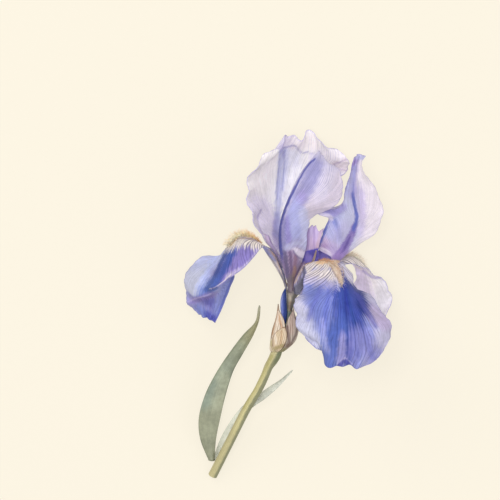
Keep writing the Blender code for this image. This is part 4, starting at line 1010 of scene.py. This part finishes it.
def makeBeard(name, fallLook, look, node):
    dice = random.Random(look["seed"])
    shape, faces = hairShape()
    count = look["count"]

    def drawn(most):
        return np.array([dice.uniform(-most, most) for _ in range(count)])

    # where each hair stands, how tall it is and which way it leans and bends
    low, high = look["span"]
    t = np.array([dice.random() for _ in range(count)])
    u = low + (high - low) * t
    spread = np.array([dice.gauss(0, look["spread"]) for _ in range(count)]).clip(-1, 1)
    v = 0.5 + spread * onCurve(look["halfWide"], t)[:, 0]
    surface = petalSurface(fallLook)
    root = surface(u, v)
    up = normalOf(surface, u, v)
    ahead = unit(surface(np.minimum(u + 0.01, 1), v) - surface(u, v))
    aside = np.cross(up, ahead)
    tuft = np.sin(107 * t + 2 * spread) * (0.6 + 0.4 * np.sin(41 * t + 3))  # hairs stand in uneven tufts
    tall = onCurve(look["tall"], t)[:, 0] * (0.82 + 0.28 * tuft + drawn(0.15))
    lean = onCurve(look["lean"], t)[:, 0] + drawn(0.35)
    slew = spread * 0.6 + drawn(0.4)
    way = unit(up + ahead * lean[:, None] + aside * slew[:, None])
    bend = ahead * (lean * 0.5)[:, None] + aside * drawn(0.4)[:, None]

    x, y, h = shape[:, 0:1], shape[:, 1:2], shape[:, 2:3]
    wide = look["thin"] * (1 - look["taper"] * h)
    points, where, polygons = [], [], []
    for i in range(count):
        polygons += [[i * len(shape) + k for k in face] for face in faces]
        points.append(root[i] + up[i] * look["rise"] + way[i] * tall[i] * h
                      + bend[i] * tall[i] * look["bow"] * h**2 + aside[i] * x * wide + ahead[i] * y * wide)
        where.append(np.hstack([0 * h + t[i], h, 0 * h + dice.random()]))
    points, where = np.concatenate(points), np.concatenate(where)
    mesh = bpy.data.meshes.new(name)
    mesh.from_pydata(inMetres(points).tolist(), [], polygons)
    mesh.update()
    mesh.shade_smooth()
    piece = bpy.data.objects.new(name, mesh)
    bpy.context.scene.collection.objects.link(piece)

    # where holds the place along the beard, the height on the hair, and the hair's own shade
    rootInk, tipInk = (onCurve([ink(c) for c in look[end]], where[:, 0]) for end in ("root", "point"))
    share = ease((where[:, 1] - look["pale"]) / 0.35)[:, None] * (0.7 + 0.3 * np.sin(107 * where[:, 0:1]))
    colour = (rootInk * (1 - share) + tipInk * share) * (0.84 + 0.36 * where[:, 2:3])
    keepOnPoints(piece, "wash", np.hstack([colour.clip(0, 1), np.zeros((len(points), 1))]))
    keepOnPoints(piece, "flow", where)
    dress(piece, look, node)


beard = {"spread": 0.45, "rise": 0.1, "bow": 0.45, "taper": 0.55, "finish": hairFinish, "slot": "beard_gold"}

beardFront = {
    **beard,
    "seed": 11, "pale": 0.35, "count": 700, "span": (0.25, 0.575),
    "halfWide": [0.03, 0.06, 0.09, 0.085, 0.07, 0.02],
    "tall": [1.5, 2.4, 2.8, 2.2, 1.6, 1.0], "lean": [0.2, 0.4, 0.6, 1.2, 1.8, 2.0], "thin": 0.18,
    "root": [(236, 204, 160), (246, 220, 192), (252, 236, 226), (250, 234, 228), (244, 228, 220)],
    "point": [(206, 150, 90), (218, 162, 98), (230, 200, 156), (224, 208, 188), (216, 202, 184)],
}
makeBeard("frontBeard", fallFront, beardFront, "beard_front")

beardLeft = {
    **beard,
    "seed": 12, "pale": 0.62, "count": 430, "span": (0.25, 0.455),
    "halfWide": [0.02, 0.06, 0.08, 0.08, 0.05],
    "tall": [1.8, 3.6, 5.0, 5.4, 4.6], "lean": [0.3, 0.4, 0.4, 0.4, 0.5], "thin": 0.26,
    "root": [(244, 206, 156), (255, 240, 214), (255, 248, 232), (255, 248, 234)],
    "point": [(216, 144, 56), (236, 170, 80), (242, 190, 108), (246, 206, 142)],
}
makeBeard("leftBeard", fallLeft, beardLeft, "beard_left")

beardBack = {
    **beard,
    "seed": 13, "pale": 0.4, "count": 480, "span": (0.3, 0.545), "halfWide": [0.04, 0.09, 0.12, 0.12, 0.07],
    "tall": [2.0, 3.8, 4.8, 4.8, 3.4], "lean": [0.3, 0.4, 0.5, 0.6, 0.8], "thin": 0.2,
    "root": [(248, 238, 222), (252, 246, 236), (254, 250, 244)],
    "point": [(206, 178, 142), (216, 192, 162), (228, 212, 192)],
}
makeBeard("backBeard", fallBack, beardBack, "beard_back")
print("beards made")


# Stem, tube with the ovary, bud and spathe.

stem = {
    "path": [(-14.4, -38.6, 0), (-16, -42.4, -0.6), (-17.9, -46, -2.4), (-20.4, -50, -5),
             (-22.6, -55.5, -7.6), (-25.1, -61, -10.4), (-28.2, -67, -13.6), (-32, -73, -16.8),
             (-36.5, -81, -21), (-43, -94, -27.6), (-50, -108, -35), (-57, -122, -42.4)],
    "radii": [3.2, 3.6, 3.3, 2.9, 2.75, 2.8, 2.75, 2.8, 2.85, 2.9, 2.95, 3.0], "cells": (48, 150),
    "lines": 9, "shape": lambda t, turn: 1 - 0.012 * np.cos(14 * turn) ** 2, "finish": stemFinish,
    "slot": "stem_green",
    "top": {"ground": (182, 174, 132), "veins": 0.6, "level": 0.84, "strokes": [
        ([(-18.5, -43), (-24, -55), (-31, -68), (-36, -77)], 0.8, 0.8, (158, 152, 88), 0.6),
        # painted highlight: a light streak down the stem
        ([(-19, -48), (-26, -61), (-33, -74), (-42, -92)], 1.4, 1.4, (198, 190, 140), 0.6),
        # painted shade along the stem's right edge
        ([(-13.5, -42), (-17.5, -49), (-22.5, -60), (-29, -72), (-34, -81), (-41, -96), (-55, -124)], 2,
         1.2, (126, 128, 100), 0.9),
        ([(-13, -41), (-15, -46)], 1.6, 1.5, (104, 112, 82), 0.8),
    ]},
}
makeRod("cutStem", stem, "stem")

tube = {
    "path": [(-4.55, -0.45, 0), (-4.9, -1.9, 0), (-5.5, -4.6, 0), (-6.2, -8.4, 0), (-7.1, -12.5, 0),
             (-7.8, -17.5, 0), (-8.8, -24, 0), (-10.4, -30, 0), (-12.8, -36, 0), (-14.4, -39.4, 0)],
    "radii": [4.9, 4.3, 3.3, 2.6, 2.3, 2.7, 3.3, 3.1, 2.4, 2.0], "cells": (48, 90), "lines": 8,
    "shape": lambda t, turn: 1 - 0.05 * np.cos(3 * turn) ** 2, "finish": stemFinish, "slot": "stem_green",
    "top": {"ground": (162, 154, 142), "veins": 0.7, "strokes": [
        ([(-7.6, -13), (-8, -18), (-8.6, -26)], 5, 2, (114, 126, 112), 0.9),
        ([(-8, -16), (-8.5, -20)], 1.5, 1.5, (66, 84, 88), 0.6),
        # painted highlight down the middle of the tube
        ([(-6.5, -4), (-6.8, -8)], 1.2, 1.5, (176, 164, 148), 0.6),
        ([(-8, 2), (-5, 0), (-3, 1)], 3, 4, (118, 108, 114), 0.9),
        ([(-6, -9), (-6.4, -12)], 1.4, 1.2, (126, 92, 72), 0.7),
        ([(-8.6, 2), (-8.4, -4), (-8.2, -10)], 1, 1, (110, 104, 98), 0.6),
        # painted shade along the tube's right edge
        ([(-2, -1), (-4, -6), (-5, -11)], 2.0, 1.2, (70, 68, 68), 0.85),
        ([(-7, 1), (-5, 1.5), (-1, -1)], 2.5, 2, (96, 92, 98), 0.6),
    ]},
}
makeRod("floralTube", tube, "perianth_tube")

bud = {
    "path": [(-9.6, 1, 3.2), (-10.1, -2, 3.2), (-10.6, -6, 3.2), (-10.7, -10.5, 3.3), (-10.3, -16, 3.7),
             (-10.4, -21.5, 4.3)],
    "radii": [0.3, 1.3, 2.1, 2.3, 1.9, 1.1], "cells": (48, 60), "lines": 7,
    "shape": lambda t, turn: 0.97 + 0.05 * np.sin(2 * turn + 9 * t), "finish": petalFinish,
    "slot": "bud_blue",
    "top": {"ground": (124, 136, 204), "veins": 0.6, "strokes": [
        ([(-12.2, -4), (-12.6, -10)], 0.6, 0.8, (158, 166, 218), 0.7),
        ([(-9.5, 0.5), (-9.4, -8), (-9.4, -16), (-9.6, -22)], 2.2, 1.0, (38, 60, 130), 0.95),
        ([(-10.6, -3), (-11, -12)], 0.6, 0.8, (80, 98, 172), 0.6),
    ]},
}
makeRod("furledBud", bud, "bud")

spathe = {
    "path": [(-15, -40.1, 0), (-13.9, -38, 0), (-11.6, -34, 0), (-10.4, -30, 0), (-9.4, -25, 0),
             (-9, -20, 0), (-9.2, -15, 0), (-9.3, -9, 0)],
    "half": [3.4, 5.1, 7.1, 7.8, 7.7, 6.4, 5.0, 4.2],
}
valve = {
    "cells": (80, 100), "thick": 0.4, "topSide": 1, "branches": (0, 0, 0.3, 6, 2, 0), "crease": 0.14,
    "finish": paperFinish, "slot": "spathe_tan",
}

valveLeft = {
    **valve,
    "facing": [180, 180], "halves": [100, 95, 92, 87, 68, 6], "length": (0, 1), "extra": 0.6, "creases": 9,
    "top": {"ground": (226, 214, 196), "veins": 0.85, "rim": ((142, 110, 82), 0.6, 0.8), "strokes": [
        ([(-18.2, -28), (-17, -22), (-15, -14)], 1, 0.9, (196, 150, 110), 0.7),
        ([(-15, -12), (-13.5, -18), (-12, -24)], 0.8, 0.8, (198, 154, 116), 0.7),
        ([(-15.2, -22), (-14, -14)], 0.5, 0.6, (242, 232, 218), 0.7),
        ([(-18.6, -31), (-18, -25), (-15.5, -15), (-14, -9)], 0.5, 0.5, (150, 126, 104), 0.6),
        ([(-18, -35), (-16.5, -39)], 2, 1.5, (184, 174, 124), 0.7),
    ]},
    "below": {"ground": (216, 194, 170), "veins": 0.5},
}
makeSheet("leftSpathe", valveLeft, "spathe_left", valveSurface)

valveRight = {
    **valve,
    "facing": [0, 0], "halves": [74, 66, 80, 89, 76, 6], "length": (0, 0.97), "extra": 0.6, "creases": 8,
    "top": {"ground": (194, 183, 170), "veins": 0.85, "rim": ((120, 96, 92), 0.5, 0.6), "strokes": [
        ([(-5, -16), (-5.5, -26)], 1.5, 2, (194, 170, 160), 0.6),
        ([(-8.5, -24), (-7, -32), (-8, -36)], 0.9, 1, (114, 90, 90), 0.7),
        ([(-3.5, -14), (-2, -22), (-2.5, -28), (-6, -35)], 0.7, 0.8, (122, 106, 106), 0.7),
        ([(-12, -38), (-7, -36)], 1.5, 1.5, (132, 112, 98), 0.6),
        ([(-14, -40), (-10.4, -39)], 1.2, 1.6, (140, 138, 98), 0.8),
    ]},
    "below": {"ground": (186, 166, 156), "veins": 0.5},
}
makeSheet("rightSpathe", valveRight, "spathe_right", valveSurface)

bractFront = {
    **valve,
    "facing": [88, 98, 105, 108, 106, 97], "halves": [8, 25, 31, 31, 25, 5], "length": (0.03, 0.6),
    "extra": 1.6, "crease": 0.1, "creases": 7, "cells": (50, 60), "branches": (0, 0, 0.3, 4, 2, 0),
    "top": {"ground": (208, 191, 167), "veins": 0.8, "rim": ((132, 98, 72), 0.8, 1), "strokes": [
        ([(-13, -29), (-13, -35)], 4, 3, (226, 208, 176), 0.6),
        # painted highlight along the left side of the bract
        ([(-16.4, -28.5), (-15.6, -34)], 0.6, 0.8, (240, 232, 218), 0.7),
        ([(-9.4, -27), (-9.6, -33)], 0.7, 0.8, (232, 216, 190), 0.6),
        ([(-12, -27), (-12.6, -35)], 0.4, 0.7, (186, 150, 112), 0.6),
        ([(-15.4, -37.5), (-12, -36.5)], 1.2, 1.4, (164, 150, 100), 0.7),
    ]},
    "below": {"ground": (216, 190, 156), "veins": 0.5},
}
makeSheet("frontBract", bractFront, "bract_front", valveSurface)
print("stem, tube, bud and spathe made")


# Leaves: two swords that clasp the stem.

leaf = {"thick": 0.7, "ruffle": (0, 5), "crimp": 0, "topSide": 1, "finish": leafFinish, "slot": "leaf_green"}

leafLeft = {
    **leaf,
    "net": [
        [(-27, -11.5, -12), (-29, -21, -13), (-37, -29.5, -15.5), (-46.5, -42, -18.5), (-55, -55, -22),
         (-62, -69, -26), (-66, -84, -31), (-65, -98, -36), (-59.5, -112, -40)],
        [(-26.3, -10, -11.5), (-27.8, -20.5, -12), (-34, -31, -14), (-42, -43, -17), (-49.5, -55, -20.5),
         (-55.5, -69, -25), (-59, -84, -30), (-59.8, -98, -34.5), (-57.2, -112.5, -38.2)],
        [(-25.8, -11.5, -12), (-27, -20.5, -13), (-31, -30.5, -15.5), (-37.5, -42, -18.5),
         (-43.5, -53, -22), (-48.5, -69, -26), (-52, -84, -30.5), (-54.8, -98, -35), (-56, -112, -40)],
    ],
    "cells": (50, 150), "branches": (0, 0, 0.2, 9, 2, 0),
    "top": {"ground": (158, 161, 138), "veins": 0.6, "level": 0.76,
            "rim": ((124, 132, 108), 0.6, 0.5), "strokes": [
        ([(-26, -11), (-27, -18)], 3, 2, (198, 198, 178), 0.7),
        ([(-29, -23), (-35, -30), (-38, -38)], 6, 8, (172, 166, 124), 0.7),
        ([(-43, -44), (-47, -52)], 8, 9, (148, 158, 142), 0.7),
        ([(-60, -70), (-58, -66)], 6, 5, (148, 163, 151), 0.7),
        ([(-50, -60), (-54, -74)], 4, 4, (180, 184, 160), 0.6),
        ([(-33, -25), (-45, -40), (-55, -55), (-62, -68)], 0.8, 0.8, (128, 136, 108), 0.5),
        ([(-38, -43), (-43, -53), (-46, -62), (-49, -73)], 0.8, 0.8, (112, 124, 102), 0.7),
    ]},
    "below": {"ground": (152, 162, 138), "veins": 0.6},
}
makeSheet("leftLeaf", leafLeft, "leaf_left")

leafRight = {
    **leaf,
    "net": [
        [(-5, -52.2, -15), (-13, -59, -17), (-20, -63.5, -19), (-28, -69.5, -22.5), (-36, -75, -26.5),
         (-44.5, -85, -32), (-52, -98, -37.5), (-57, -112, -43)],
        [(-4.5, -52.5, -14.8), (-13.5, -61, -16.4), (-21.5, -66.7, -18.6), (-30, -73, -22.4),
         (-38, -80, -26.8), (-44.5, -90, -33), (-50, -101, -38), (-54.2, -113, -43.4)],
        [(-5.4, -54, -15), (-14, -63.5, -17), (-22.5, -71, -19), (-31, -77, -22.5), (-37.5, -84, -27),
         (-43.5, -93.5, -33), (-48, -103, -38), (-51.5, -114, -43)],
    ],
    "cells": (50, 140), "branches": (0, 0, 0.2, 7, 2, 0),
    "top": {"ground": (204, 206, 194), "veins": 0.5, "rim": ((176, 180, 164), 0.6, 0.5), "strokes": [
        ([(-8, -55), (-18, -62), (-26, -67)], 0.6, 0.7, (178, 182, 162), 0.5),
        ([(-10, -61), (-20, -69)], 0.6, 0.7, (170, 174, 162), 0.5),
    ]},
    "below": {"ground": (176, 184, 160), "veins": 0.6},
}
makeSheet("rightLeaf", leafRight, "leaf_right")
print("leaves made")
